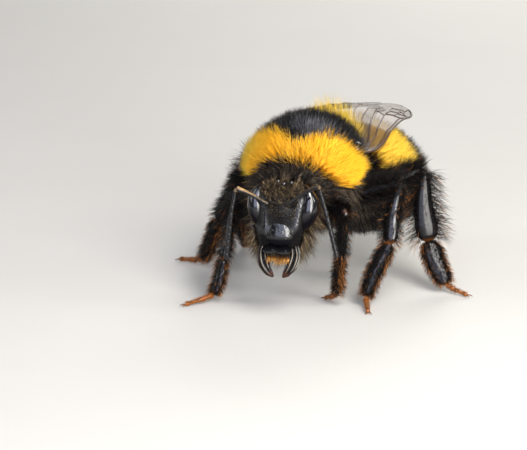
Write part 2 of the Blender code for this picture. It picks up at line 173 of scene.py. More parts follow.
def closed_tube(rings, start, end):
    """Points and faces of a skin through rings of points, closed at a point at each end."""
    rows, sides, _ = rings.shape
    points = np.vstack((rings.reshape(-1, 3), start, end))
    j = np.arange(sides)
    k = (j + 1) % sides
    foot = np.stack((k, j, np.full(sides, rows * sides)), -1)
    base = (rows - 1) * sides
    top = np.stack((base + j, base + k, np.full(sides, rows * sides + 1)), -1)
    return points, [ring_faces(rows, sides), np.vstack((foot, top))]


def join(parts):
    """Several (points, faces, values) as one, with the faces counted on."""
    points, quads, triangles, values, total = [], [], [], {}, 0
    for part_points, part_faces, part_values in parts:
        for table in part_faces:
            table = np.asarray(table)
            (quads if table.shape[1] == 4 else triangles).append(table + total)
        for key, numbers in part_values.items():
            values.setdefault(key, []).append(np.broadcast_to(numbers, len(part_points)))
        points.append(part_points)
        total += len(part_points)
    faces = [np.vstack(tables) for tables in (quads, triangles) if tables]
    return np.vstack(points), faces, {key: np.concatenate(rows) for key, rows in values.items()}


def superpower(value, squareness):
    """A cosine or sine bent so that a circle turns into a rounded square."""
    return np.sign(value) * np.abs(value) ** (2.0 / squareness)


def ball(centre, half, rows=24, sides=32, square=2.0, warp=None, flat=None):
    """A ball with its poles along Z: x = a cos u sin v, y = b sin u sin v, z = c cos v.

    Squareness above 2 flattens its faces; flat, when given, is that of its level outline.
    """
    flat = flat or square
    v = np.linspace(0, math.pi, rows + 2)[1:-1, None]
    u = np.linspace(0, 2 * math.pi, sides, endpoint=False)[None, :]
    x = superpower(np.cos(u), flat) * superpower(np.sin(v), square)
    y = superpower(np.sin(u), flat) * superpower(np.sin(v), square)
    z = superpower(np.cos(v), square) + 0 * u
    shape = np.stack((x, y, z), -1)
    ends = np.array(((0.0, 0.0, 1.0), (0.0, 0.0, -1.0)))
    if warp is not None:
        shape, ends = warp(shape), warp(ends)
    rings = shape * half + centre
    points, faces = closed_tube(rings[:, ::-1], ends[0] * half + centre, ends[1] * half + centre)
    return points, faces


# %% [markdown]
# ## Tubes with a changing oval section
#
# Legs, feelers, jaws and veins are all tubes carried along a path. A bevelled curve would make
# them too, but its section keeps one shape and nothing can be asked of it later. Here a tube
# keeps a table of stations, so that one function gives both its mesh and the roots of its hair.

# %% Limbs
def rounded_path(corners, reach, steps=7):
    """A line through corners, each corner cut by a parabola that starts `reach` before it."""
    corners = [np.asarray(corner, float) for corner in corners]
    path = [corners[0]]
    for before, corner, after in zip(corners, corners[1:], corners[2:]):
        start = corner + unit(before - corner) * min(reach, 0.45 * np.linalg.norm(before - corner))
        end = corner + unit(after - corner) * min(reach, 0.45 * np.linalg.norm(after - corner))
        for t in np.linspace(0, 1, steps):
            path.append((1 - t) ** 2 * start + 2 * t * (1 - t) * corner + t * t * end)
    path.append(corners[-1])
    return np.array(path)


def limb(path, sections, reference, stations=24):
    """Stations along a path: centre, direction, the two cross directions and the half sizes.

    sections has rows of (share of the length, half width, half thickness); the thickness
    lies along the reference, and the width across it.
    """
    path = np.asarray(path, float)
    gone = np.concatenate(([0], np.cumsum(np.linalg.norm(np.diff(path, axis=0), axis=1))))
    share = np.linspace(0, 1, stations)
    centre = np.stack([np.interp(share * gone[-1], gone, path[:, k]) for k in range(3)], -1)
    direction = unit(np.gradient(centre, axis=0))
    reference = np.broadcast_to(reference, centre.shape)
    thick = unit(reference - (reference * direction).sum(1, keepdims=True) * direction)
    wide = np.cross(direction, thick)
    table = np.array(sections, float)
    half_wide = np.interp(share, table[:, 0], table[:, 1])
    half_thick = np.interp(share, table[:, 0], table[:, 2])
    return {"share": share, "centre": centre, "direction": direction, "thick": thick, "wide": wide,
            "half_wide": half_wide, "half_thick": half_thick, "length": gone[-1]}


def centre_at(tube, share):
    """Points of the limb's middle line at shares of its length."""
    return np.stack([np.interp(share, tube["share"], tube["centre"][:, k]) for k in range(3)], -1)


def on_limb(tube, share, angle, square=2.0):
    """Points and outward normals at shares of the length and angles round the limb.

    point = centre + thick half_thick cos(angle) + wide half_wide sin(angle)
    """
    def at(key):
        """The tube's own table read at the shares."""
        table = tube[key]
        if table.ndim == 1:
            return np.interp(share, tube["share"], table)
        return np.stack([np.interp(share, tube["share"], table[:, k]) for k in range(3)], -1)

    c, s = superpower(np.cos(angle), square), superpower(np.sin(angle), square)
    thick, wide, a, b = at("thick"), at("wide"), at("half_thick"), at("half_wide")
    points = at("centre") + thick * (a * c)[..., None] + wide * (b * s)[..., None]
    normals = unit(thick * (c / np.maximum(a, 1e-6))[..., None] + wide * (s / np.maximum(b, 1e-6))[..., None])
    return points, normals, at("direction")


def limb_skin(tube, rows=24, sides=14, square=2.0, shape=None, cap=0.06):
    """A closed mesh of the limb with rounded ends; shape(share, angle) swells it."""
    ends = 0.5 - 0.5 * np.cos(np.linspace(0, math.pi, 6)[1:])
    share = np.unique(np.concatenate((cap * ends, np.linspace(cap, 1 - cap, rows), 1 - cap * ends)))
    share = share[(share > 1e-4) & (share < 1 - 1e-4)]
    angle = np.linspace(0, 2 * math.pi, sides, endpoint=False)
    s, a = np.meshgrid(share, angle, indexing="ij")
    points, _, _ = on_limb(tube, s, a, square)
    middle = centre_at(tube, share)
    swell = np.sqrt(np.clip(1 - (1 - np.clip(np.minimum(share, 1 - share) / cap, 0, 1)) ** 2, 0, 1))[:, None]
    if shape is not None:
        swell = swell * shape(s, a)
    rings = middle[:, None] + (points - middle[:, None]) * swell[..., None]
    points, faces = closed_tube(rings, tube["centre"][0], tube["centre"][-1])
    along = np.concatenate((s.ravel(), (0.0, 1.0)))
    return points, faces, along


# %% [markdown]
# ## Shader groups
#
# Three effects turn up in many finishes, so each is a node group: the colour of a hair from
# its root to its tip, the fine pits of the shell, and slow mottling. A group is built once and
# placed in each material with values of its own.

# %% Helpers for node trees
def new_group(name, inputs, outputs):
    """A shader group with named sockets, and its input and output nodes."""
    group = bpy.data.node_groups.new(name, "ShaderNodeTree")
    for label, kind, value in inputs:
        socket = group.interface.new_socket(label, in_out="INPUT", socket_type=kind)
        socket.default_value = value
    for label, kind in outputs:
        group.interface.new_socket(label, in_out="OUTPUT", socket_type=kind)
    return group, group.nodes.new("NodeGroupInput"), group.nodes.new("NodeGroupOutput")


def read_value(tree, key):
    """The number that rides on the points under this name."""
    node = tree.nodes.new("ShaderNodeAttribute")
    node.attribute_name = key
    return node.outputs["Fac"]


def maths(tree, operation, first, second, clamp=False):
    """A sum, product or power of two sockets or numbers."""
    node = tree.nodes.new("ShaderNodeMath")
    node.operation = operation
    node.use_clamp = clamp
    for socket, value in zip(node.inputs, (first, second)):
        if isinstance(value, (int, float)):
            socket.default_value = value
        else:
            tree.links.new(value, socket)
    return node.outputs[0]


def add_clear_layer(tree, shader, dull, index, roughness):
    """A smooth clear layer over a dull ground, as strong as the value `gloss` on the points."""
    tree.links.new(read_value(tree, "gloss"), shader.inputs["Coat Weight"])
    shader.inputs["Coat Roughness"].default_value = roughness
    shader.inputs["Coat IOR"].default_value = index
    shader.inputs["Specular IOR Level"].default_value = dull


def add_mirror(tree, shader, paint, dull, index):
    """Paint that turns to a dark mirror where the value `gloss` on the points is 1.

    It reflects ((index - 1) / (index + 1)) squared of the light that meets it head on, as a
    clear layer of that index does, and unlike such a layer it follows the pits of the ground.
    """
    weight = read_value(tree, "gloss")
    mirror = ((index - 1) / (index + 1)) ** 2
    tree.links.new(weight, shader.inputs["Metallic"])
    shader.inputs["Specular IOR Level"].default_value = dull
    return blend_colour(tree, weight, paint, (mirror, mirror, mirror))


def blend_colour(tree, factor, first, second, mode="MIX"):
    """The first colour going over to the second as the factor goes from 0 to 1."""
    node = tree.nodes.new("ShaderNodeMix")
    node.data_type = "RGBA"
    node.blend_type = mode
    sockets = (node.inputs[0], node.inputs[6], node.inputs[7])
    for socket, value in zip(sockets, (factor, first, second)):
        if isinstance(value, (int, float)):
            socket.default_value = value
        elif isinstance(value, tuple):
            socket.default_value = (*value, 1.0)
        else:
            tree.links.new(value, socket)
    return node.outputs[2]


def object_point(tree):
    """Object coordinates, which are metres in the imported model's frame."""
    return tree.nodes.new("ShaderNodeTexCoord").outputs["Object"]


def noise(tree, scale, detail=2.0):
    """Noise on Object coordinates, scale in waves a metre."""
    node = tree.nodes.new("ShaderNodeTexNoise")
    node.inputs["Detail"].default_value = detail
    tree.links.new(object_point(tree), node.inputs["Vector"])
    if isinstance(scale, (int, float)):
        node.inputs["Scale"].default_value = scale
    else:
        tree.links.new(scale, node.inputs["Scale"])
    return node.outputs["Fac"]


# %% [markdown]
# ### A hair's colour
#
# A real hair is darkest at its root, and no two have quite the same shade. A hair shader could
# show that on hair curves, but these hairs are mesh, so the numbers that ride on their points
# do it: `along` runs from root to tip, `tint` brings in another colour towards the tip, and
# `shade` makes each hair a little lighter or darker than the next.

# %% The colour of a hair
HAIR_COLOUR, inward, outward = new_group(
    "hair_colour",
    [("Root", "NodeSocketColor", (0, 0, 0, 1)), ("Tip", "NodeSocketColor", (1, 1, 1, 1)),
     ("Other", "NodeSocketColor", (0.5, 0.5, 0.5, 1)), ("Spread", "NodeSocketFloat", 0.5)],
    [("Color", "NodeSocketColor")],
)
along = read_value(HAIR_COLOUR, "along")
hair = blend_colour(HAIR_COLOUR, along, inward.outputs["Root"], inward.outputs["Tip"])
towards_tip = maths(HAIR_COLOUR, "POWER", along, 0.6)
other_share = maths(HAIR_COLOUR, "MULTIPLY", read_value(HAIR_COLOUR, "tint"), towards_tip)
hair = blend_colour(HAIR_COLOUR, other_share, hair, inward.outputs["Other"])
shade = maths(HAIR_COLOUR, "SUBTRACT", read_value(HAIR_COLOUR, "shade"), 0.5)
shade = maths(HAIR_COLOUR, "MULTIPLY", shade, inward.outputs["Spread"])
bright = maths(HAIR_COLOUR, "ADD", shade, 1.0)
grey = HAIR_COLOUR.nodes.new("ShaderNodeCombineColor")
for socket in grey.inputs[:3]:
    HAIR_COLOUR.links.new(bright, socket)
hair = blend_colour(HAIR_COLOUR, 1.0, hair, grey.outputs[0], "MULTIPLY")
HAIR_COLOUR.links.new(hair, outward.inputs["Color"])

# %% [markdown]
# ### The pits of the shell
#
# A bumblebee's shell is covered with fine pits that break its lights up into sparks. Dents in
# the mesh would need millions of faces. A Voronoi texture has a centre in each cell, and its
# distance makes a pit there as a bump, with a slow ripple added so that the ground isn't flat.

# %% The pits
SHELL_PITS, inward, outward = new_group(
    "shell_pits",
    [("Pits a metre", "NodeSocketFloat", 9000.0), ("Depth", "NodeSocketFloat", 0.3),
     ("Ripple", "NodeSocketFloat", 0.2)],
    [("Normal", "NodeSocketVector"), ("Mask", "NodeSocketFloat")],
)
cells = SHELL_PITS.nodes.new("ShaderNodeTexVoronoi")
SHELL_PITS.links.new(object_point(SHELL_PITS), cells.inputs["Vector"])
SHELL_PITS.links.new(inward.outputs["Pits a metre"], cells.inputs["Scale"])
pit = maths(SHELL_PITS, "MULTIPLY", cells.outputs["Distance"], 2.2, clamp=True)
pit = maths(SHELL_PITS, "POWER", pit, 0.6)
swell = maths(SHELL_PITS, "MULTIPLY", noise(SHELL_PITS, 2600.0, 3.0), inward.outputs["Ripple"])
height = maths(SHELL_PITS, "ADD", maths(SHELL_PITS, "MULTIPLY", pit, inward.outputs["Depth"]), swell)
bump = SHELL_PITS.nodes.new("ShaderNodeBump")
bump.inputs["Strength"].default_value = 1.0
bump.inputs["Distance"].default_value = 0.00006
SHELL_PITS.links.new(height, bump.inputs["Height"])
SHELL_PITS.links.new(bump.outputs["Normal"], outward.inputs["Normal"])
SHELL_PITS.links.new(pit, outward.inputs["Mask"])

# %% [markdown]
# ### Mottling
#
# Nothing on an animal has one even value. This group gives a number that drifts between a low
# and a high one, for roughness and for large, plain colours.

# %% The mottling
MOTTLE, inward, outward = new_group(
    "mottle",
    [("Waves a metre", "NodeSocketFloat", 900.0), ("Low", "NodeSocketFloat", 0.8),
     ("High", "NodeSocketFloat", 1.2)],
    [("Value", "NodeSocketFloat")],
)
patch = noise(MOTTLE, inward.outputs["Waves a metre"], 3.0)
span = maths(MOTTLE, "SUBTRACT", inward.outputs["High"], inward.outputs["Low"])
value = maths(MOTTLE, "ADD", maths(MOTTLE, "MULTIPLY", patch, span), inward.outputs["Low"])
MOTTLE.links.new(value, outward.inputs["Value"])
print("groups", [group.name for group in bpy.data.node_groups])


# %% [markdown]
# ## Finishes
#
# Shell is almost black, so what shows is what it mirrors. It should shine where it looks up and
# stay dull beneath, and the value `gloss` on the points says where. The level of a shader's
# specular light can't follow a value through a bake, so the gloss is laid on in one of two other
# ways. A clear layer is smooth, which suits eyes, jaws and legs. A dark mirror keeps the pits of
# the ground, which suits the face.

# %% Makers of finishes
def new_material(name, **constants):
    """A Principled material; constants go straight onto the shader's own sockets."""
    material = bpy.data.materials.new(name)
    material.use_nodes = True
    tree = material.node_tree
    shader = tree.nodes["Principled BSDF"]
    for label, value in constants.items():
        shader.inputs[label.replace("_", " ")].default_value = value
    return material, tree, shader


def add_group(tree, group, **values):
    """A group placed in a material, with values for its sockets."""
    node = tree.nodes.new("ShaderNodeGroup")
    node.node_tree = group
    for label, value in values.items():
        socket = node.inputs[label.replace("_", " ")]
        socket.default_value = (*value, 1.0) if isinstance(value, tuple) else value
    return node


def hair_material(name, root, tip, other, spread, roughness, **constants):
    """Hair from its root colour to its tip colour, or to the other where `tint` is 1."""
    material, tree, shader = new_material(name, Roughness=roughness, **constants)
    node = add_group(tree, HAIR_COLOUR, Root=root, Tip=tip, Other=other, Spread=spread)
    tree.links.new(node.outputs["Color"], shader.inputs["Base Color"])
    return material


def shell_material(name, colour, roughness, pits, depth, ripple,
                   other=None, painted_crest_highlight=None, layer=None, mirror=None, **constants):
    """Pitted shell; it has the other colour where the value `amber` on the points is 1.

    A value on the points marks the tops of ridges, which get a pale painted highlight. Both
    layer and mirror are pairs of the ground's dull level and an index of refraction.
    """
    material, tree, shader = new_material(name, **constants)
    grain = add_group(tree, SHELL_PITS, Pits_a_metre=pits, Depth=depth, Ripple=ripple)
    tree.links.new(grain.outputs["Normal"], shader.inputs["Normal"])
    cloud = add_group(tree, MOTTLE, Waves_a_metre=1500.0, Low=0.75, High=1.35)
    tree.links.new(maths(tree, "MULTIPLY", cloud.outputs["Value"], roughness), shader.inputs["Roughness"])
    # Painted shade: the paint is darker at the middle of each pit.
    darker = tuple(0.45 * part for part in colour)
    paint = blend_colour(tree, grain.outputs["Mask"], darker, colour)
    if other is not None:
        paint = blend_colour(tree, read_value(tree, "amber"), paint, other)
    # Painted highlight: a pale colour on the tops of ridges.
    if painted_crest_highlight is not None:
        paint = blend_colour(tree, read_value(tree, "painted_crest_highlight"), paint, painted_crest_highlight)
    if mirror is not None:
        paint = add_mirror(tree, shader, paint, *mirror)
    if layer is not None:
        add_clear_layer(tree, shader, *layer, roughness)
    tree.links.new(paint, shader.inputs["Base Color"])
    return material


# %% Hair
# Golden and olive hair go to their other, paler yellow colour in random patches, and as painted light on the
# bee's right side.
GOLDEN_HAIR = hair_material(
    "golden_hair", (0.56, 0.20, 0.005), (0.98, 0.52, 0.022), (0.92, 0.72, 0.10), 0.45, 0.6,
    Specular_IOR_Level=0.15)
OLIVE_HAIR = hair_material(
    "olive_hair", (0.24, 0.11, 0.004), (0.68, 0.42, 0.032), (0.84, 0.67, 0.12), 0.6, 0.6,
    Specular_IOR_Level=0.15)
BLACK_HAIR = hair_material(
    "black_hair", (0.0015, 0.0014, 0.0014), (0.006, 0.0055, 0.0055), (0.34, 0.25, 0.17), 0.7, 0.32,
    Specular_IOR_Level=0.17)
# The blue-grey other colour of this hair is a painted sheen on the tips.
SHEEN_HAIR = hair_material(
    "sheen_hair", (0.0015, 0.0014, 0.0015), (0.005, 0.0045, 0.005), (0.24, 0.24, 0.27), 0.7, 0.28,
    Specular_IOR_Level=0.36)
WHITE_HAIR = hair_material(
    "white_hair", (0.46, 0.42, 0.34), (0.95, 0.92, 0.84), (0.75, 0.66, 0.45), 0.3, 0.5)
BROWN_HAIR = hair_material(
    "brown_hair", (0.005, 0.0035, 0.0025), (0.022, 0.013, 0.007), (0.76, 0.53, 0.27), 0.8, 0.36,
    Specular_IOR_Level=0.3)
# The fringe's dark other colour is painted shade, laid in strands between its lighter strokes.
AMBER_HAIR = hair_material(
    "amber_hair", (0.10, 0.022, 0.003), (1.0, 0.52, 0.11), (0.03, 0.008, 0.003), 0.9, 0.28)
print("hair finishes", len(bpy.data.materials))

# %% Shell
RUSTY = (0.13, 0.028, 0.008)
BLACK_SHELL = shell_material(
    "black_shell", (0.003, 0.003, 0.004), 0.14, 5200.0, 0.48, 0.35,
    other=RUSTY, mirror=(0.05, 1.64))
# The jaws' pale colour on the tops of their ridges is a painted highlight.
JAW_SHELL = shell_material(
    "jaw_shell", (0.003, 0.003, 0.003), 0.16, 5200.0, 0.48, 0.35,
    other=RUSTY, painted_crest_highlight=(0.11, 0.076, 0.036), layer=(0.10, 1.62))
LEG_SHELL = shell_material(
    "leg_shell", (0.004, 0.0035, 0.0035), 0.15, 7000.0, 0.35, 0.35,
    other=(0.34, 0.11, 0.026), layer=(0.08, 1.58))
# The warm other colour is a little tan on the elbow joint, and painted light on the upper side of the first
# joint.
FEELER_SHELL = shell_material(
    "feeler_shell", (0.003, 0.0027, 0.003), 0.15, 12000.0, 0.50, 0.20,
    other=(0.50, 0.31, 0.13), Specular_IOR_Level=0.35)
print("hair and shell finishes", len(bpy.data.materials))

# %% [markdown]
# ### Skin, eyes and wings
#
# The skin under the coat is bare black shell on the face, and it has the coat's markings
# elsewhere, so that a gap between tufts shows the right colour. An eye is dark glass with a brown
# glow at its edge, where light passes through its facets. The film of a wing is so thin that it
# is a smoky surface that lets most light through, with a few folds as bump.

# %% The marked skin
SKIN, tree, shader = new_material("marked_skin")
grain = add_group(tree, SHELL_PITS, Pits_a_metre=5200.0, Depth=0.62, Ripple=0.38)
tree.links.new(grain.outputs["Normal"], shader.inputs["Normal"])
cloud = add_group(tree, MOTTLE, Waves_a_metre=1200.0, Low=0.06, High=0.24)
tree.links.new(cloud.outputs["Value"], shader.inputs["Roughness"])
# Painted shade: darker at the middle of each pit.
paint = blend_colour(tree, grain.outputs["Mask"], (0.001, 0.001, 0.001), (0.005, 0.0045, 0.0045))
paint = blend_colour(tree, read_value(tree, "gold"), paint, (0.48, 0.21, 0.010))
paint = blend_colour(tree, read_value(tree, "pale"), paint, (0.50, 0.46, 0.38))
paint = add_mirror(tree, shader, paint, 0.05, 1.76)
tree.links.new(paint, shader.inputs["Base Color"])

# %% The eyes
EYE_ROUGHNESS = 0.11
EYE, tree, shader = new_material("eye_glass", Roughness=EYE_ROUGHNESS)
edge = tree.nodes.new("ShaderNodeLayerWeight")
edge.inputs["Blend"].default_value = 0.5
edge = maths(tree, "MULTIPLY", maths(tree, "POWER", edge.outputs["Facing"], 5.0), 0.8)
edge = maths(tree, "MAXIMUM", edge, read_value(tree, "rim"))
paint = blend_colour(tree, edge, (0.003, 0.0026, 0.004), (0.16, 0.070, 0.020))
tree.links.new(paint, shader.inputs["Base Color"])
facets = add_group(tree, SHELL_PITS, Pits_a_metre=32000.0, Depth=0.03, Ripple=0.0)
tree.links.new(facets.outputs["Normal"], shader.inputs["Normal"])
add_clear_layer(tree, shader, 0.03, 1.79, EYE_ROUGHNESS)

# %% The wings
WING_FILM, tree, shader = new_material(
    "wing_film", Roughness=0.35, Alpha=0.36, Specular_IOR_Level=0.25)
cloud = add_group(tree, MOTTLE, Waves_a_metre=500.0, Low=0.0, High=1.0)
paint = blend_colour(tree, cloud.outputs["Value"], (0.060, 0.036, 0.022), (0.15, 0.095, 0.060))
tree.links.new(paint, shader.inputs["Base Color"])
folds = tree.nodes.new("ShaderNodeBump")
folds.inputs["Distance"].default_value = 0.0001
folds.inputs["Strength"].default_value = 0.12
tree.links.new(noise(tree, 1400.0, 4.0), folds.inputs["Height"])
tree.links.new(folds.outputs["Normal"], shader.inputs["Normal"])

WING_VEIN = shell_material("wing_vein", (0.055, 0.026, 0.014), 0.4, 9000.0, 0.1, 0.2)
print("materials", len(bpy.data.materials))

# %% [markdown]
# ## The skin
#
# Under the hair, head, thorax and abdomen are one body with no seams. It could be sculpted, or
# joined from the solids with booleans, but booleans leave creases. The forms below are the
# solids shrunk by the depth of the coat. They overlap, and a voxel remesh melts them into one
# skin, which a few rounds of smoothing soften.

# %% Sizes under the coat
THORAX_SKIN = np.array((3.40, 3.15, 2.85))
THORAX_SKIN_BELOW = 3.30
# along the body, sideways, height, half width and half height of the abdomen
HOOPS = np.array((
    (3.3, 0.25, 7.70, 1.20, 1.20), (4.3, 0.40, 7.65, 2.70, 2.40), (5.1, 0.52, 7.45, 4.25, 3.60),
    (6.3, 0.68, 7.05, 4.85, 4.20), (7.9, 0.85, 6.65, 4.70, 4.30), (9.6, 1.00, 6.30, 4.55, 4.20),
    (11.3, 1.15, 5.85, 4.10, 3.75), (12.8, 1.28, 5.40, 3.35, 3.05), (14.1, 1.40, 4.92, 2.30, 2.10),
    (15.0, 1.47, 4.55, 1.25, 1.15), (15.5, 1.50, 4.35, 0.45, 0.45),
))
# along the body, and how deep the coat is there
COAT_DEPTH = np.array((
    (3.3, 0.45), (4.3, 0.80), (5.1, 1.15), (6.3, 0.85), (8.0, 0.60), (12.0, 0.55), (14.0, 0.40), (15.5, 0.22),
))
BAND_ENDS = (3.3, 6.3, 8.5, 10.7, 12.6, 14.1, 15.5)
# height, half width, and how far the head reaches to the front and to the back
HEAD_SKIN = np.array((
    (2.02, 0.60, 0.20, 0.45), (1.88, 1.25, 0.50, 0.80), (1.52, 1.72, 0.78, 1.05), (0.90, 2.00, 0.96, 1.20),
    (0.10, 2.04, 1.13, 1.20), (-0.75, 1.90, 1.30, 1.05), (-1.50, 1.70, 1.44, 0.88), (-2.10, 1.58, 1.42, 0.70),
    (-2.60, 1.46, 1.18, 0.52), (-2.84, 1.22, 0.95, 0.42), (-2.96, 0.88, 0.75, 0.30),
))
print("hoops", len(HOOPS), "levels of the head", len(HEAD_SKIN))


# %% Thorax and abdomen under the coat
def hoop_at(y):
    """Centre and half sizes of the abdomen's outline, smoothed between its rows."""
    total = 0.0
    for step, weight in ((-0.45, 0.25), (0.0, 0.5), (0.45, 0.25)):
        at = np.clip(y + step, HOOPS[0, 0], HOOPS[-1, 0])
        total = total + weight * np.stack([np.interp(at, HOOPS[:, 0], HOOPS[:, k]) for k in range(1, 5)], -1)
    return total


def thorax_skin(rows=40, sides=56):
    """A slightly square ball with its poles at the front and the back.

    x = a cos u sin v, y = -b cos v and z = -c sin u sin v, plus a round hump at the back.
    """
    v = np.linspace(0, math.pi, rows + 2)[1:-1, None]
    u = np.linspace(0, 2 * math.pi, sides, endpoint=False)[None, :]
    x = superpower(np.sin(v) * np.cos(u), 2.15) * THORAX_SKIN[0]
    y = superpower(-np.cos(v), 2.15) * THORAX_SKIN[1] + 0 * u
    z = superpower(-np.sin(v) * np.sin(u), 2.15)
    hump = 0.35 * np.exp(-((y - 2.2) / 1.1) ** 2) * np.exp(-(x / 2.4) ** 4) * np.sqrt(np.clip(z, 0, 1))
    z = z * np.where(z > 0, THORAX_SKIN[2], THORAX_SKIN_BELOW) + hump
    points, faces = closed_tube(np.stack((x, y, z), -1), (0, -THORAX_SKIN[1], 0), (0, THORAX_SKIN[1], 0))
    return points @ THORAX_TURN.T + THORAX_CENTRE, faces


def abdomen_skin(rows=120, sides=64):
    """Ovals along the abdomen; each band's back edge stands a little over the next.

    x = sideways + (half width - depth) cos u, z = height - (half height - depth) sin u.
    """
    y = np.linspace(3.32, 15.45, rows)
    x, z, half_width, half_height = hoop_at(y).T
    band = np.interp(y, BAND_ENDS, np.arange(7.0)) % 1.0
    depth = np.interp(y, COAT_DEPTH[:, 0], COAT_DEPTH[:, 1]) - 0.10 * band ** 3
    u = np.linspace(0, 2 * math.pi, sides, endpoint=False)
    across = x[:, None] + np.maximum(half_width - depth, 0.1)[:, None] * np.cos(u)
    up = z[:, None] - np.maximum(half_height - depth, 0.1)[:, None] * np.sin(u)
    rings = np.stack((across, np.broadcast_to(y[:, None], across.shape), up), -1)
    return closed_tube(rings, (x[0], y[0] - 0.1, z[0]), (x[-1], y[-1] + 0.05, z[-1]))


# %% Head under the coat
def head_skin(rows=48, sides=64):
    """Levels of the head from the crown to the chin, each a rounded oblong.

    x = half width cos u and y = reach sin u, with both bent towards a square lower down.
    """
    z = np.linspace(HEAD_SKIN[0, 0], HEAD_SKIN[-1, 0], rows)
    wide, front, back = (np.interp(-z, -HEAD_SKIN[:, 0], HEAD_SKIN[:, k])[:, None] for k in (1, 2, 3))
    u = -np.linspace(0, 2 * math.pi, sides, endpoint=False)
    square = np.interp(-z, (0.0, 2.2), (2.2, 2.8))[:, None]
    x = superpower(np.cos(u), square) * wide
    y = superpower(np.sin(u), square)
    y = np.where(y < 0, y * front, y * back)
    aside = -0.16 * np.clip(-z / 1.6, 0, 1)
    rings = np.stack((x + aside[:, None], y, np.broadcast_to(z[:, None], x.shape)), -1)
    points, faces = closed_tube(rings, (0, 0, z[0] + 0.04), (aside[-1], 0, z[-1] - 0.04))
    return from_head(points), faces


# %% Corners of the legs, and the links between the forms
# hip, knee, ankle, heel and toe
LEG_CORNERS = {
    "front_right": (
        (-1.0, -2.4, 5.6), (-4.8, -2.0, 6.3), (-4.95, -3.3, 2.9), (-5.3, -4.13, 0.55), (-6.75, -5.85, 0.04)),
    "front_left": (
        (1.2, -2.0, 6.6), (4.15, -3.9, 7.2), (3.65, -3.3, 3.9), (3.02, -2.12, 0.90), (1.75, -1.0, 0.04)),
    "middle_left": (
        (2.4, 0.2, 6.8), (6.3, 1.4, 8.1), (6.19, -0.4, 4.28), (4.75, -1.3, 0.60), (5.6, -3.3, 0.04)),
    "middle_right": (
        (-2.4, 0.5, 5.6), (-6.0, 2.5, 7.5), (-7.8, 3.2, 3.8), (-9.2, 3.9, 0.58), (-11.3, 4.85, 0.04)),
    "hind_left": (
        (2.3, 2.6, 5.9), (6.8, 5.3, 8.2), (7.4, 4.6, 3.3), (9.0, 3.6, 0.58), (10.7, 3.0, 0.04)),
    "hind_right": (
        (-2.0, 2.6, 5.9), (-6.3, 5.8, 8.0), (-7.6, 7.0, 3.3), (-8.0, 9.3, 0.60), (-8.6, 11.7, 0.04)),
}


def bridge(start, end, radius):
    """A short round link, such as the neck, the waist or a hip."""
    start, end = np.asarray(start, float), np.asarray(end, float)
    link = limb(np.linspace(start, end, 8), ((0, radius, radius), (1, radius, radius)), (0.1, 0.2, 1.0), 8)
    return limb_skin(link, 8, 20, cap=0.2)[:2]


forms = [thorax_skin(), abdomen_skin(), head_skin()]
forms.append(bridge(from_head((0.0, 0.5, -0.1)), (0.1, -2.4, 8.3), 1.1))
forms.append(bridge((0.2, 2.0, 8.1), (0.5, 5.0, 7.6), 1.25))
for corners in LEG_CORNERS.values():
    hip, knee = np.array(corners[0]), np.array(corners[1])
    forms.append(bridge((0.4 * hip[0], hip[1], 7.0), hip + 0.20 * (knee - hip), 0.55))
body_points, body_faces, _ = join([(points, faces, {}) for points, faces in forms])
print("forms", len(forms), "points", len(body_points))

# %% [markdown]
# ## Melting the forms into one skin
#
# The remesh works in millimetre-sized units, because its smallest voxel would be coarse in
# metres. The head then gets its relief: a rim round each feeler's socket, a swelling between
# them, and a ridge beside each eye that catches the light.

# %% The remesh
VOXEL = 0.10


def melted(points, faces):
    """Overlapping closed forms as the points and quads of one smooth skin."""
    mesh = bpy.data.meshes.new("forms")
    mesh.from_pydata(points.tolist(), [], [row for table in faces for row in table.tolist()])
    obj = bpy.data.objects.new("forms", mesh)
    bpy.context.scene.collection.objects.link(obj)
    remesh = obj.modifiers.new("melt", "REMESH")
    remesh.mode = "VOXEL"
    remesh.voxel_size = VOXEL
    soften = obj.modifiers.new("soften", "SMOOTH")
    soften.factor = 0.5
    soften.iterations = 8
    made = bpy.data.meshes.new_from_object(obj.evaluated_get(bpy.context.evaluated_depsgraph_get()))
    co = np.empty(len(made.vertices) * 3)
    made.vertices.foreach_get("co", co)
    corners = np.empty(len(made.loops), np.int32)
    made.loops.foreach_get("vertex_index", corners)
    bpy.data.objects.remove(obj)
    bpy.data.meshes.remove(made)
    return co.reshape(-1, 3), corners.reshape(-1, 4)


def point_normals(points, quads):
    """Each point's normal: the sum of the crossed diagonals of its quads."""
    facing = np.cross(points[quads[:, 2]] - points[quads[:, 0]], points[quads[:, 3]] - points[quads[:, 1]])
    total = np.zeros_like(points)
    for corner in range(4):
        np.add.at(total, quads[:, corner], facing)
    return unit(total)


# %% Gloss and relief
SOCKET_ACROSS, SOCKET_UP = 0.66, 0.85
RIDGE_ACROSS, RIDGE_LEAN = 1.20, 0.16


def looks_up(normals, none, full):
    """How much of the gloss a surface has: none of it at one rise of its normal, full at the other."""
    return np.clip((normals[:, 2] - none) / (full - none), 0, 1)


def upward_gloss(points, quads):
    """1 where the surface looks up by more than about 13 degrees, fading to 0 where it looks down by 4."""
    share = looks_up(point_normals(points, quads), -0.07, 0.23)
    return share * share * (3 - 2 * share)


def beside_eye(x, z, width):
    """A band that runs down the face along the inner edge of each eye."""
    return ((np.abs(x) - RIDGE_ACROSS - RIDGE_LEAN * z) / width) ** 2


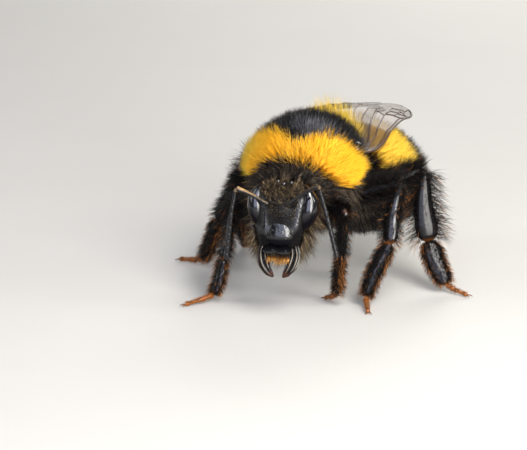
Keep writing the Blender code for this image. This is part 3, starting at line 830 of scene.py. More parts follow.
def face_relief(points):
    """How far the face stands out: at socket rims, swelling, furrow, ridges and cheeks."""
    x, y, z = to_head(points).T
    front = np.clip(-y / 0.6, 0, 1) * (np.hypot(x, z) < 3.0) * (points[:, 1] < -3.9)
    away = np.hypot(np.abs(x) - SOCKET_ACROSS, z - SOCKET_UP)
    rim = 0.13 * np.exp(-((away - 0.25) / 0.09) ** 2) - 0.10 * np.exp(-(away / 0.14) ** 2)
    swelling = 0.16 * np.exp(-(x / 0.42) ** 2 - ((z - 0.25) / 0.75) ** 2)
    furrow = -0.07 * np.exp(-(x / 0.09) ** 2) * np.exp(-((z - 1.45) / 0.45) ** 4)
    ridge = 0.05 * np.exp(-beside_eye(x, z, 0.15) - ((z + 0.1) / 1.3) ** 4)
    cheek = 0.06 * np.exp(-((np.abs(x) - 1.15) / 0.25) ** 2 - ((z + 1.2) / 0.6) ** 2)
    return front * (rim + swelling + furrow + ridge + cheek)


def face_gloss(points):
    """Share of the full gloss: all of it beside the eyes and low on the face, little in between."""
    x, _, z = to_head(points).T
    beside = np.exp(-beside_eye(x, z, 0.17)) * np.clip((1.10 - z) / 0.3, 0, 1)
    low = np.clip((-0.80 - z) / 0.35, 0, 1)
    return 0.12 + 0.88 * np.clip(beside + low, 0, 1)


# %% Melt the skin
skin_points, skin_quads = melted(body_points, body_faces)
skin_normals = point_normals(skin_points, skin_quads)
if (skin_normals * (skin_points - skin_points.mean(0))).sum() <= 0:
    skin_quads, skin_normals = skin_quads[:, ::-1], -skin_normals
skin_points = skin_points + skin_normals * face_relief(skin_points)[:, None]
skin_normals = point_normals(skin_points, skin_quads)
print("skin quads", len(skin_quads))
print("skin from", np.round(skin_points.min(0), 2), "to", np.round(skin_points.max(0), 2))

# %% [markdown]
# ## The markings
#
# Skin and coat share their markings: a golden collar that dips at the middle and comes down to a
# lobe at each shoulder, a golden scutellum behind the black disc, a golden first band on the
# abdomen, and an off-white tail with a small black tip. They could be painted on a map, but the
# hair has to know them too. So each mark is a function of the place on the body, and the skin
# and every root of hair ask the same one. Slow waves make the edges uneven.

# %% Places on the body
NECK_Y, WAIST_Y = -3.75, 3.55
TAIL_TIP_Y = 15.05
# degrees of rise of the collar's top and foot, at shares of the way across
COLLAR_ACROSS = (0.0, 0.10, 0.26, 0.34, 0.54, 0.74, 0.89, 0.96, 0.985, 1.0)
COLLAR_TOP = (38, 43, 51, 56, 62, 65, 72, 88, 130, 180)
COLLAR_FOOT_ACROSS = (0.0, 0.2, 0.42, 0.6, 0.75, 0.87, 0.93, 0.97, 1.0)
COLLAR_FOOT = (31, 31, 27, 18, 9, -4, -18, -36, -50)


def over_thorax(points):
    """Share across (0 middle, 1 side) and degrees of rise from the front over the top."""
    q = to_thorax(points)
    across = np.clip(np.abs(q[:, 0]) / THORAX_SKIN[0], 0, 1)
    rise = np.degrees(np.arctan2(q[:, 2], -q[:, 1]))
    return across, np.where(rise < -90, rise + 360, rise), q


def on_head(points):
    """In front of the neck."""
    return points[:, 1] < NECK_Y


def on_abdomen(points):
    """Behind the waist."""
    return points[:, 1] > WAIST_Y


# %% Marks of the thorax
def in_collar(points, blur=0.0, seed=3):
    """True inside the golden collar; blur is the ragged edge, in degrees."""
    across, rise, q = over_thorax(points)
    from_notch = np.where(across < 0.5, np.abs(q[:, 0] - 0.35) / THORAX_SKIN[0], across)
    edge = 3.0 * waves(points, 0.9, 11)
    if blur:
        edge = edge + np.random.default_rng(seed).normal(0, blur, len(points))
    lower_right = 6.0 * np.clip(-q[:, 0] / 1.2, 0, 1) * (across < 0.9)
    top = np.interp(from_notch, COLLAR_ACROSS, COLLAR_TOP) - lower_right
    foot = np.interp(across, COLLAR_FOOT_ACROSS, COLLAR_FOOT)
    middle = ~on_head(points) & ~on_abdomen(points)
    return middle & (rise + edge < top) & (rise + edge > foot)


def in_scutellum(points):
    """The back edge of the dome, above its middle."""
    _, _, q = over_thorax(points)
    ragged = 0.12 * waves(points, 0.8, 12)
    return (q[:, 1] + ragged > 2.25) & (q[:, 2] > 0.0) & (np.abs(q[:, 0]) < 2.3) & ~on_abdomen(points)


# %% Marks of the abdomen
def along_abdomen(points):
    """How far back a point is, with ragged edges."""
    return points[:, 1] + 0.12 * waves(points, 1.1, 13)


def above_middle(points):
    """How far above the abdomen's middle line a point is."""
    return points[:, 2] - hoop_at(points[:, 1])[:, 1]


def in_first_band(points):
    """The upper part of the first band and a little of the second."""
    back = along_abdomen(points)
    return on_abdomen(points) & (back > 5.1) & (back < 7.5) & (above_middle(points) > 0.6)


def in_pale_bands(points):
    """The tail up to its tip, apart from its underside."""
    back = along_abdomen(points)
    front_edge = 10.7 + 0.22 * waves(points, 1.0, 24)
    return (back > front_edge) & (back < TAIL_TIP_Y) & (above_middle(points) > -2.2)


# %% Mark the skin
gold = in_collar(skin_points) | in_scutellum(skin_points) | in_first_band(skin_points)
pale = in_pale_bands(skin_points)
skin_gloss = face_gloss(skin_points) * ~(gold | pale) * looks_up(skin_normals, -0.05, 0.20) ** 1.5
mesh_piece("skin", skin_points, [skin_quads], SKIN, "black_fur",
           {"gold": gold, "pale": pale, "gloss": skin_gloss},
           stands_for=["head", "thorax"] + [f"abdomen_{n}" for n in range(1, 7)])
print("gold share", round(float(gold.mean()), 3), "pale share", round(float(pale.mean()), 3))

# %% [markdown]
# ## Growing hair
#
# A bumblebee's hairs are long, fine and a little curved. Blender's hair curves would be the usual
# way, but this coat has to be mesh, so that other programs show it too. A hair is a closed,
# three-sided spike on a curved line, and thousands of them are worked out at once. They start
# steeply, lean over along the lie of the coat, and neighbours draw together towards one tip, as
# damp or brushed fur does. Each hair's patch of the OFBake map lies at its root's place on an
# unwrap of the skin.

# %% The skin as triangles
HAIR_SHARE = 1.0
skin_corners = np.vstack((skin_quads[:, (0, 1, 2)], skin_quads[:, (0, 2, 3)]))
edge_one = skin_points[skin_corners[:, 1]] - skin_points[skin_corners[:, 0]]
edge_two = skin_points[skin_corners[:, 2]] - skin_points[skin_corners[:, 0]]
SKIN_AREA = 0.5 * np.linalg.norm(np.cross(edge_one, edge_two), axis=1)
SKIN_MIDDLE = skin_points[skin_corners].mean(1)
order = np.lexsort((SKIN_MIDDLE[:, 2].round(1), SKIN_MIDDLE[:, 0].round(1), SKIN_MIDDLE[:, 1].round(1)))
skin_corners, SKIN_AREA, SKIN_MIDDLE = skin_corners[order], SKIN_AREA[order], SKIN_MIDDLE[order]
print("skin area in square mm", round(float(SKIN_AREA.sum()), 1))


# %% Roots
def scatter(weight, density, seed):
    """Even roots: the running total of area times weight is cut at equal steps.

    A place in a triangle is (1 - a - b) first corner + a second corner + b third corner.
    """
    rng = np.random.default_rng(seed)
    total = np.cumsum(SKIN_AREA * weight * density)
    cuts = np.arange(rng.uniform(), total[-1], 1.0)
    chosen = skin_corners[np.minimum(np.searchsorted(total, cuts), len(total) - 1)]
    a, b = rng.random((2, len(cuts), 1))
    over = a + b > 1
    a, b = np.where(over, 1 - a, a), np.where(over, 1 - b, b)

    def mix(table):
        """The three corners' values weighed by where the root lies between them."""
        return table[:, 0] * (1 - a - b) + table[:, 1] * a + table[:, 2] * b

    return mix(skin_points[chosen]), unit(mix(skin_normals[chosen]))


# %% Unwraps
def fit_unwrap(u, v):
    """An unwrap stretched over most of the unit square."""
    flat = np.stack((u, v), -1)
    low, high = flat.min(0), flat.max(0)
    return 0.005 + 0.985 * (flat - low) / np.maximum(high - low, 1e-9)


def unwrap_thorax(points):
    """Round the thorax's long axis, and along it."""
    q = to_thorax(points)
    return fit_unwrap(np.arctan2(q[:, 0], q[:, 2]), q[:, 1])


def unwrap_abdomen(points):
    """Round the abdomen's middle line, and along it."""
    x, z, _, _ = hoop_at(points[:, 1]).T
    return fit_unwrap(np.arctan2(points[:, 0] - x, points[:, 2] - z), points[:, 1])


def unwrap_head(points):
    """Round the head's upright axis, and up it."""
    q = to_head(points)
    return fit_unwrap(np.arctan2(q[:, 0], -q[:, 1]), q[:, 2])


# %% The faces and the map of one hair
def hair_faces(count, rows):
    """Quads up the three sides of each hair, and triangles at its tip and its root."""
    sides = []
    for row in range(rows - 1):
        for k in range(3):
            j = (k + 1) % 3
            sides.append((3 * row + k, 3 * row + j, 3 * row + 3 + j, 3 * row + 3 + k))
    top = 3 * rows - 3
    caps = [(top + k, top + (k + 1) % 3, 3 * rows) for k in range(3)] + [(0, 2, 1)]
    start = (np.arange(count) * (3 * rows + 1))[:, None, None]
    return [(np.array(table)[None] + start).reshape(-1, len(table[0])) for table in (sides, caps) if table]


def hair_patch(unwrap, t, rows):
    """Each hair's small patch of the OFBake map, at its root's place on the unwrap."""
    patch = np.stack((np.concatenate((np.tile((0.0, 0.5, 1.0), rows), (0.5,))), t), -1)
    patch[1, 1] -= 0.25
    return unwrap[:, None] + 0.003 * (patch[None] - 0.5) + 0.0015


# %% Growing a piece of coat
def tuft_pull(roots, tip, clump, clump_size, seed):
    """How far each tip moves towards the mean tip of the hairs in its cell of a wavy grid."""
    drift = np.stack([waves(roots, 0.8, seed + k) for k in range(3)], -1)
    cell = np.floor((roots + 0.3 * drift) / clump_size)
    _, member = np.unique(cell.astype(int), axis=0, return_inverse=True)
    member = member.ravel()
    middle = np.stack([np.bincount(member, tip[:, k]) / np.bincount(member) for k in range(3)], -1)
    return clump * (middle[member] - tip)


def grow(name, roots, normals, flow, length, lift, width, material, slot, unwrap, seed,
         rows=2, bend=0.25, jitter=0.16, clump=0.35, clump_size=0.5, tint=0.0, ragged=(0.72, 1.08)):
    """Hairs as one mesh: point = root + length (t (1 - t/2) first + t^2/2 last) + t^2 pull.

    first and last are the directions at the root and the tip, lift is the angle off the skin,
    and pull draws a tip towards the mean tip of its neighbours.
    """
    rng = np.random.default_rng(seed)
    count = len(roots)
    length = np.broadcast_to(length, count) * rng.uniform(*ragged, count)
    lift = np.broadcast_to(lift, count) + rng.normal(0, 0.12, count)
    tangent = unit(flow - (flow * normals).sum(1, keepdims=True) * normals)
    stray = jitter * rng.normal(size=(count, 3))

    def lean(angle):
        """The lie of the hair, raised from the skin by an angle."""
        return np.cos(angle)[:, None] * tangent + np.sin(angle)[:, None] * normals

    first = unit(lean(lift + bend) + stray)
    last = unit(lean(lift - bend) + 1.6 * stray)
    tip = roots + length[:, None] * 0.5 * (first + last)
    pull = tuft_pull(roots, tip, clump, clump_size, seed)
    side = unit(np.cross(first, rng.normal(size=(count, 3))))
    around = np.radians((0, 120, 240))
    width = np.broadcast_to(width, count) * rng.uniform(0.8, 1.2, count)
    levels = []
    for t in np.arange(rows + 1) / rows:
        levels.append(roots + length[:, None] * (t * (1 - t / 2) * first + t * t / 2 * last) + t * t * pull)
    points = np.empty((count, 3 * rows + 1, 3))
    for row in range(rows):
        direction = unit(levels[row + 1] - levels[row])
        across = unit(side - (side * direction).sum(1, keepdims=True) * direction)
        other = np.cross(direction, across)
        size = (width * (1 - (row / rows) ** 1.6))[:, None]
        for k, angle in enumerate(around):
            offset = size * (math.cos(angle) * across + math.sin(angle) * other)
            points[:, 3 * row + k] = levels[row] + offset
    points[:, -1] = levels[-1]
    t = np.concatenate((np.repeat(np.arange(rows) / rows, 3), (1.0,)))
    values = {
        "along": np.broadcast_to(t, (count, len(t))).ravel(),
        "shade": np.repeat(rng.random(count), len(t)),
        "tint": np.repeat(np.broadcast_to(tint, count).astype(float), len(t)),
    }
    return mesh_piece(name, points.reshape(-1, 3), hair_faces(count, rows), material, slot, values,
                      hair_patch(unwrap, t, rows).reshape(-1, 2))


def coat(name, chosen, density, seed, flow, length, lift, width, material, slot, unwrap, tint=None, **habits):
    """A coat piece on the skin: chosen(points) says where, and density is hairs a square mm.

    flow, length, lift and tint may be functions of the roots' places.
    """
    roots, normals = scatter(chosen(SKIN_MIDDLE).astype(float), density * HAIR_SHARE, seed)

    def at(thing):
        """A function's values at the roots, or a plain number as it is."""
        return thing(roots) if callable(thing) else thing

    flow = np.broadcast_to(np.asarray(at(flow), float), roots.shape)
    shades = 0.0 if tint is None else tint(roots)
    return grow(name, roots, normals, flow, at(length), at(lift), width, material, slot,
                unwrap(roots), seed, tint=shades, **habits)


# %% [markdown]
# ## The coat of the thorax
#
# The collar stands almost straight out, so its edge against the dark band is soft and spiky.
# The disc between the wings is shorter and black, the scutellum behind it has the longest hair,
# and the flanks hang down in dull brown-black. Each is a piece with a density, a length and a
# direction of its own. One even coat with painted colours would miss those differences, and
# they are what makes the fur look deep.

# %% Lie and colour of the thorax hair
def from_neck(points):
    """Directions straight away from the neck, seen from in front."""
    return unit((points - (0.3, 0.0, 7.9)) * (1, 0, 1))


def collar_flow(points):
    """Away from the neck, leaning back over the disc at the collar's top."""
    _, rise, _ = over_thorax(points)
    return from_neck(points) + np.clip((rise - 42) / 25, -0.1, 1)[:, None] * (0.0, 1.2, 0.0)


def on_disc(points):
    """The black dome between the collar and the scutellum."""
    _, _, q = over_thorax(points)
    above = (q[:, 2] > 0.9 + 0.25 * waves(points, 1.0, 21)) & (q[:, 1] > -2.2)
    return above & ~in_collar(points) & ~in_scutellum(points) & ~on_head(points) & ~on_abdomen(points)


def on_flanks(points):
    """What the disc, the collar and the scutellum leave of the thorax."""
    rest = ~on_disc(points) & ~in_collar(points) & ~in_scutellum(points)
    return rest & (points[:, 1] > -4.3) & ~on_abdomen(points)


def lemon_and_painted_side_light(points):
    """Where the gold turns a paler yellow: in patches at random, and towards the bee's right as painted
    light.
    """
    q = to_thorax(points)
    rng = np.random.default_rng(31)
    # The last term is painted light: more pale yellow towards the bee's right.
    patchy = 0.10 + 0.18 * waves(points, 1.6, 32) + 0.60 * np.clip((-q[:, 0] - 1.8) / 1.6, 0, 1)
    return np.clip(patchy + rng.normal(0, 0.12, len(points)), 0, 1)


def light_tips(points, share=0.35, seed=33):
    """How light each hair's tip is: nothing for most, 0.4 to 1 for a share of them."""
    rng = np.random.default_rng(seed)
    return (rng.random(len(points)) < share) * rng.uniform(0.4, 1.0, len(points))


# The middle of a painted sheen on the left of the dome, in the thorax's frame.
PAINTED_SHEEN_PATCH = np.array((0.95, -0.75, 3.9))


def disc_painted_sheen(points):
    """Painted sheen as grey tips: a few all over, and a patch of them on the left of the dome."""
    q = to_thorax(points) - PAINTED_SHEEN_PATCH
    return light_tips(points, 0.02 + 0.75 * np.exp(-(q[:, 0] / 1.1) ** 2 - (q[:, 1] / 0.8) ** 2))


# %% Grow the collar and the disc
# name, where, hairs a square mm, seed, direction, length, lift from the skin, width
coat("coat_collar", lambda p: in_collar(p, 5.0, 41), 520, 101, collar_flow, 1.46, 1.10, 0.017,
     GOLDEN_HAIR, "golden_fur", unwrap_thorax, tint=lemon_and_painted_side_light, clump=0.26, clump_size=0.36, ragged=(0.7, 1.12))
coat("coat_disc", on_disc, 380, 102, (0.0, 0.8, 0.6), 1.34, 1.10, 0.018,
     SHEEN_HAIR, "black_fur", unwrap_thorax, tint=disc_painted_sheen, jitter=0.2, ragged=(0.55, 1.25))


# %% Scutellum, flanks and the ruff round the neck
def crest_length(points):
    """Longest on the back edge of the dome, and more so on the left."""
    q = to_thorax(points)
    left = np.clip((q[:, 0] + 1.2) / 2.4, 0, 1)
    return 1.3 + (0.7 + 1.5 * left) * np.exp(-((q[:, 1] - 2.5) / 0.8) ** 2) * np.exp(-(q[:, 0] / 2.3) ** 4)


def flank_length(points):
    """Longer towards the underside."""
    return 1.5 + 0.55 * np.clip((7.6 - points[:, 2]) / 1.6, 0, 1)


def on_ruff(points):
    """The front of the flanks, round the neck."""
    return on_flanks(points) & (to_thorax(points)[:, 1] < -0.9)


def ruff_flow(points):
    """Away from the neck on all sides, turning to the hang of the flank further back."""
    front = np.clip((-0.6 - to_thorax(points)[:, 1]) / 1.6, 0, 1)[:, None]
    return front * (from_neck(points) + (0.0, -0.15, 0.0)) + (1 - front) * np.array((0.0, 0.30, -1.0))


def ruff_length(points):
    """Short under the foot of the collar, so that the gold shows, and longer below."""
    across, rise, _ = over_thorax(points)
    below = np.interp(across, COLLAR_FOOT_ACROSS, COLLAR_FOOT) - rise
    return 0.72 + 0.95 * np.clip(below / 32, 0, 1)


# %% Grow the scutellum and the flanks
coat("coat_scutellum", in_scutellum, 190, 103, (0.0, 0.55, 1.0), crest_length, 1.0, 0.017,
     OLIVE_HAIR, "golden_fur", unwrap_thorax, tint=lambda p: 0.5 * lemon_and_painted_side_light(p) + 0.4, rows=3, jitter=0.2,
     clump=0.5, ragged=(0.5, 1.15))
coat("coat_flanks", lambda p: on_flanks(p) & ~on_ruff(p), 190, 104, (0.0, 0.30, -1.0), flank_length, 0.72,
     0.016, BLACK_HAIR, "black_fur", unwrap_thorax, tint=light_tips, jitter=0.2, ragged=(0.6, 1.15))
coat("coat_ruff", on_ruff, 250, 105, ruff_flow, ruff_length, 0.95, 0.015,
     BLACK_HAIR, "black_fur", unwrap_thorax, tint=lambda p: light_tips(p, 0.22), jitter=0.2,
     ragged=(0.5, 1.25))

# %% [markdown]
# ## The coat of the abdomen
#
# The first band is long and fluffy and stands out to the sides. Further back the hair is shorter
# and lies towards the tail. The belly is kept apart, because its hair is thin and nobody sees
# much of it, so it needs fewer hairs.

# %% Where the abdomen is dark
def on_dark_bands(points):
    """What the golden and the pale marks leave of the abdomen, up to its tip."""
    marked = in_first_band(points) | in_pale_bands(points)
    return on_abdomen(points) & ~marked & (along_abdomen(points) < TAIL_TIP_Y)


def on_belly(points):
    """The underside of the dark bands."""
    return on_dark_bands(points) & (above_middle(points) < -1.6)


# %% Grow the abdomen's hair
coat("coat_first_band", in_first_band, 260, 111, (0.0, 1.0, -0.1), 1.55, 0.95, 0.018,
     GOLDEN_HAIR, "golden_fur", unwrap_abdomen, tint=lambda p: 0.6 * lemon_and_painted_side_light(p) + 0.60, jitter=0.2, clump=0.3)
coat("coat_dark_bands", lambda p: on_dark_bands(p) & ~on_belly(p), 150, 112, (0.0, 1.0, 0.0), 1.25, 0.62,
     0.020, BLACK_HAIR, "black_fur", unwrap_abdomen, tint=lambda p: light_tips(p, 0.04), ragged=(0.6, 1.1))
coat("coat_belly", on_belly, 90, 115, (0.0, 1.0, -0.1), 1.15, 0.55, 0.021,
     BLACK_HAIR, "black_fur", unwrap_abdomen, tint=lambda p: light_tips(p, 0.12))
coat("coat_pale_bands", in_pale_bands, 200, 113, (0.0, 1.0, -0.05), 1.15, 0.62, 0.021,
     WHITE_HAIR, "white_fur", unwrap_abdomen, tint=lambda p: light_tips(p, 0.3))
coat("coat_tail_tip", lambda p: along_abdomen(p) >= TAIL_TIP_Y, 420, 114, (0.0, 1.0, -0.4), 0.55, 0.9,
     0.016, BLACK_HAIR, "black_fur", unwrap_abdomen, tint=lambda p: light_tips(p, 0.15), clump=0.6,
     ragged=(0.5, 1.3))

# %% [markdown]
# ## The hair of the head
#
# The crown carries a fringe of dark hair that spreads up and back in front of the collar. The
# brow has short hair with tan tips, the cheeks a beard, and the lower face is almost bare. Hair
# through an eye spoils a face, so the shape of the eyes is settled first, and the hair asks how
# far it is from them.

# %% The shape of the eyes
# height, half width and front depth of the head under the eyes
EYE_LEVELS = np.array((
    (1.95, 1.50, 0.52), (1.50, 1.80, 0.76), (0.90, 2.02, 0.93), (0.10, 2.08, 1.09), (-0.75, 1.96, 1.25),
    (-1.30, 1.80, 1.36)))
# the eyes' middle and reach in height, their half width in degrees, and the squareness of both outlines
EYE_MIDDLE, EYE_REACH, EYE_ROUND, EYE_SQUARE = 0.30, 1.55, 34.0, 2.3
EYE_FACING = {"left": 71.0, "right": 79.0}
OCELLI = ((0.06, -0.66, 1.96), (0.52, -0.34, 1.98), (-0.40, -0.34, 2.02))


def eye_level(z):
    """Half width and front depth of the head under the eyes."""
    return [np.interp(-z, -EYE_LEVELS[:, 0], EYE_LEVELS[:, k]) for k in (1, 2)]


def eye_middle(v, side):
    """Degrees round the head of an eye's middle line, which leans back above."""
    return EYE_FACING[side] + 9.0 * np.maximum(v, 0) + 2.0 * np.minimum(v, 0)


def over_eye(q):
    """How far out from the middle of the nearer eye: 1 is its edge.

    The distance is (h^n + v^n)^(1/n), with h round the head and v up it, in half sizes of the eye.
    """
    width, front = eye_level(q[:, 2])
    v = (q[:, 2] - EYE_MIDDLE) / EYE_REACH
    deep = np.abs(q[:, 1] / front) ** (EYE_SQUARE / 2) * np.sign(-q[:, 1])
    around = np.degrees(np.arctan2(np.abs(q[:, 0] / width) ** (EYE_SQUARE / 2), deep))
    middle = np.where(q[:, 0] > 0, eye_middle(v, "left"), eye_middle(v, "right"))
    h = (around - middle) / EYE_ROUND
    return (np.abs(h) ** EYE_SQUARE + np.abs(v) ** EYE_SQUARE) ** (1 / EYE_SQUARE)


def eye_shell(side, rows=26, sides=72):
    """A lens that follows the side of the head, with the values for its rim and its inner part.

    bulge = 0.54 (1 - r^2.2)^0.8 - 0.10 on the outside, and -0.10 - 0.35 (1 - r^2) behind it.
    """
    r = np.sin(np.linspace(0.03, 0.5, rows) * math.pi)
    r = np.concatenate((r, r[-2::-3]))[:, None]
    outside = np.arange(len(r)) < rows
    u = np.linspace(0, 2 * math.pi, sides, endpoint=False)[None, :]
    h, v = r * superpower(np.cos(u), EYE_SQUARE), r * superpower(np.sin(u), EYE_SQUARE)
    angle = np.radians(eye_middle(v, side) + EYE_ROUND * h)
    width, front = eye_level(EYE_MIDDLE + EYE_REACH * v)
    x, y = width * superpower(np.sin(angle), EYE_SQUARE), -front * superpower(np.cos(angle), EYE_SQUARE)
    dome = 0.54 * np.clip(1 - r ** 2.2, 0, 1) ** 0.8 - 0.10
    bulge = np.where(outside[:, None], dome, -0.10 - 0.35 * (1 - r ** 2))
    away = unit(np.stack((np.sin(angle) / width, -np.cos(angle) / front), -1))
    rings = np.stack((x, y, EYE_MIDDLE + EYE_REACH * v), -1)
    rings[..., :2] += away * bulge[..., None]
    rings[..., 0] *= SIDES[side]
    rim = np.where(outside[:, None], np.clip((r - 0.86) / 0.10, 0, 1) * np.clip(0.5 + 1.5 * h, 0, 1), 0.0)
    if side == "left":
        rings = rings[:, ::-1]
        rim = rim[:, ::-1]
    points, faces = closed_tube(rings, rings[0].mean(0), rings[-1].mean(0))
    inner_part = np.broadcast_to(np.clip((1.0 - r) / 0.16, 0, 1) * outside[:, None], rim.shape)
    rim = np.concatenate((rim.ravel(), (0.0, 0.0)))
    return points, faces, rim, np.concatenate((inner_part.ravel(), (1.0, 0.0)))


# %% Where the head has hair
def clear_of_face(points):
    """True away from the eyes, the sockets of the feelers and the shield of the face."""
    q = to_head(points)
    clear = np.hypot(np.abs(q[:, 0]) - SOCKET_ACROSS, q[:, 2] - SOCKET_UP) > 0.20
    clear &= over_eye(q) > 1.0
    for middle in OCELLI:
        clear &= np.linalg.norm(q - middle, axis=1) > 0.27
    shield = ((q[:, 0] / 1.10) ** 2 + ((q[:, 2] + 1.35) / 1.20) ** 2 < 1) & (q[:, 1] < 0)
    return clear & ~shield & on_head(points)


def on_crown(points):
    """The top and the back of the head."""
    q = to_head(points)
    behind = q[:, 1] > -0.14 + 0.12 * waves(points, 0.7, 51)
    high = (q[:, 2] > 0.2) & ((q[:, 2] > 1.45) | (q[:, 1] > 0.35))
    return clear_of_face(points) & (over_eye(q) > 1.28) & behind & high


def on_brow(points):
    """Between the eyes, thinner lower down."""
    q = to_head(points)
    thin = 0.40 + 0.60 * np.clip((q[:, 2] - 0.4) / 1.0, 0, 1)
    sparse = np.random.default_rng(55).random(len(points)) < thin
    margin = 1.05 + 0.15 * waves(points, 0.6, 57) + 1.1 * np.clip((q[:, 2] - 0.9) / 0.9, 0, 1)
    between = np.abs(q[:, 0]) < margin * np.random.default_rng(58).uniform(0.85, 1.1, len(points))
    beside = (over_eye(q) > 1.08) & ((over_eye(q) > 1.28) | (q[:, 1] < -0.14))
    in_front = (q[:, 2] > -0.6) & (q[:, 1] < 0.2)
    return clear_of_face(points) & sparse & between & beside & in_front & ~on_crown(points)


def on_cheeks(points):
    """Behind the jaws and under the eyes."""
    q = to_head(points)
    behind = (q[:, 1] > -0.66 + 0.1 * waves(points, 0.5, 56)) | (q[:, 2] < -2.45)
    return clear_of_face(points) & ~on_crown(points) & behind & ((q[:, 2] < -1.25) | (q[:, 1] > 0.45))


# %% Lie and colour of the head's hair
def head_flow(direction, spread):
    """A direction in the head's frame, spread out to the sides."""
    def flow(points):
        """The direction at each root, in the bee's frame."""
        return (np.array(direction) + spread * to_head(points)[:, :1] * (1, 0, 0)) @ HEAD_TURN.T

    return flow


def crown_tint(points):
    """Light tips in front and hardly any towards the neck."""
    q = to_head(points)
    return light_tips(points, 0.03 + 0.22 * np.clip((0.45 - q[:, 1]) / 0.4, 0, 1))


# %% Grow the head's hair
coat("hair_crown", on_crown, 420, 121, head_flow((0.0, 0.30, 1.0), 0.60),
     lambda p: 0.62 + 0.75 * np.clip(to_head(p)[:, 1], 0, 1),
     lambda p: 0.85 + 0.35 * np.clip((to_head(p)[:, 2] - 1.2) / 0.6, 0, 1), 0.014,
     BLACK_HAIR, "black_fur", unwrap_head, tint=crown_tint, clump=0.45, clump_size=0.26,
     jitter=0.25, ragged=(0.5, 1.2))
coat("hair_brow", on_brow, 640, 122, head_flow((0.0, 0.2, 1.0), 0.2),
     lambda p: 0.13 + 0.38 * np.clip((to_head(p)[:, 2] - 0.5) / 1.1, 0, 1), 0.95, 0.011,
     BROWN_HAIR, "black_fur", unwrap_head, tint=lambda p: light_tips(p, 0.19), clump=0.35, clump_size=0.2,
     jitter=0.45, ragged=(0.5, 1.3))
coat("hair_cheeks", on_cheeks, 190, 123, head_flow((0.0, -0.20, -1.0), 0.45),
     lambda p: 0.75 + 1.0 * np.clip((to_head(p)[:, 1] + 0.7) / 0.9, 0, 1), 0.7, 0.013,
     BROWN_HAIR, "black_fur", unwrap_head, tint=lambda p: light_tips(p, 0.28), rows=3, clump=0.35,
     clump_size=0.3, jitter=0.24, ragged=(0.5, 1.2))

# %% [markdown]
# ## Eyes
#
# Each compound eye is a long dark lens that follows the side of the head, with a brown rim where
# the light comes through its edge. A plain ball would bulge like a bead, so its front is domed
# over the head's own outline. Three simple eyes, which are small balls, sit on the crown.

# %% Eyes
for side in SIDES:
    points, faces, rim, inner_part = eye_shell(side)
    points = from_head(points)
    gloss = looks_up(point_normals(points, faces[0]), -0.22, 0.20) ** 1.5 * inner_part
    mesh_piece(f"compound_eye_{side}", points, faces, EYE, "eye", {"rim": rim, "gloss": gloss},
               stands_for=[f"eye_{side}"])

ocelli = []
for middle in OCELLI:
    points, faces = ball(middle, (0.16, 0.16, 0.15), 12, 20)
    ocelli.append((from_head(points), faces, {"rim": 0.0, "gloss": 1.0}))
points, faces, values = join(ocelli)
mesh_piece("simple_eyes", points, faces, EYE, "eye", values)

# %% [markdown]
# ## The shield and the lip
#
# The shield is a domed plate on the face, narrow above and broad below, and under it the lip has
# two round humps. Both could be sculpted from a ball. Here the shield is a ball that is bent by a
# formula, and the lip is a tube across the face that swells twice.

# %% The shield
SHIELD_HALF = (1.26, 0.66, 1.34)
SHIELD_PLACE = (-0.10, -0.87, -1.36)
SHIELD_TILT = -13.0


def shield_shape(points):
    """The unit ball, narrower above, with a flat lower edge: x becomes x (0.84 - 0.16 z)."""
    x, y, z = points[..., 0], points[..., 1], points[..., 2]
    return np.stack((x * (0.84 - 0.16 * z), y * (1 - 0.10 * z), np.where(z < 0, z * 0.80, z)), -1)


points, faces = ball((0.0, 0.0, 0.0), SHIELD_HALF, 44, 60, square=2.2, warp=shield_shape)
points = from_head(points @ turn("X", SHIELD_TILT).T + SHIELD_PLACE)
mesh_piece("shield", points, faces, BLACK_SHELL, "black_shell",
           {"amber": 0.0, "gloss": upward_gloss(points, faces[0])}, stands_for=["clypeus"])

# %% The lip
LIP_HALF = (0.96, 0.44, 0.31)
LIP_PLACE = (-0.17, -1.40, -2.51)


def lip_shell(stations=31, sides=24):
    """Two humps side by side: each swells as the root of 1 - |(x - 0.45) / 0.53|^2.6."""
    wide, deep, high = LIP_HALF
    share = np.linspace(-0.985, 0.985, stations)[:, None]
    swell = np.sqrt(np.clip(1 - np.abs((np.abs(share) * wide - 0.45) / 0.53) ** 2.6, 0.0, 1))
    u = np.linspace(0, 2 * math.pi, sides, endpoint=False)
    x = np.broadcast_to(share * wide, (stations, sides))
    rings = np.stack((x, -deep * swell * np.sin(u), high * swell * np.cos(u)), -1) + LIP_PLACE
    return closed_tube(rings[:, ::-1], rings[0].mean(0), rings[-1].mean(0))


points, faces = lip_shell()
points = from_head(points)
mesh_piece("lip", points, faces, BLACK_SHELL, "black_shell",
           {"amber": 0.0, "gloss": upward_gloss(points, faces[0])}, stands_for=["labrum"])

# %% [markdown]
# ## The jaws and the fringe
#
# The jaws are curved blades with long grooves, and they end in reddish points. The grooves are
# real relief, since they make the light run in stripes along the blade, and their tops carry a
# painted pale highlight. An amber fringe of stiff hair hangs behind the lip, with dark strands
# of painted shade between its strokes.

# %% The jaws
JAW_PATH = (
    (1.06, -0.66, -2.20),
    (1.20, -1.00, -2.85),
    (1.04, -1.34, -3.50),
    (0.70, -1.54, -4.00),
    (0.32, -1.60, -4.34),
)
JAW_SECTIONS = ((0, 0.30, 0.30), (0.3, 0.33, 0.28), (0.6, 0.36, 0.22), (0.85, 0.25, 0.15), (1.0, 0.07, 0.06))
# how far each point of a jaw's path lies to the bee's left of the plain mirrored one
JAW_SHIFT = {"left": (-0.20, -0.16, -0.20, -0.12, -0.04), "right": (0.0, 0.0, 0.0, 0.0, 0.0)}
JAW_ROWS, JAW_SIDES, JAW_CAP = 44, 56, 0.05


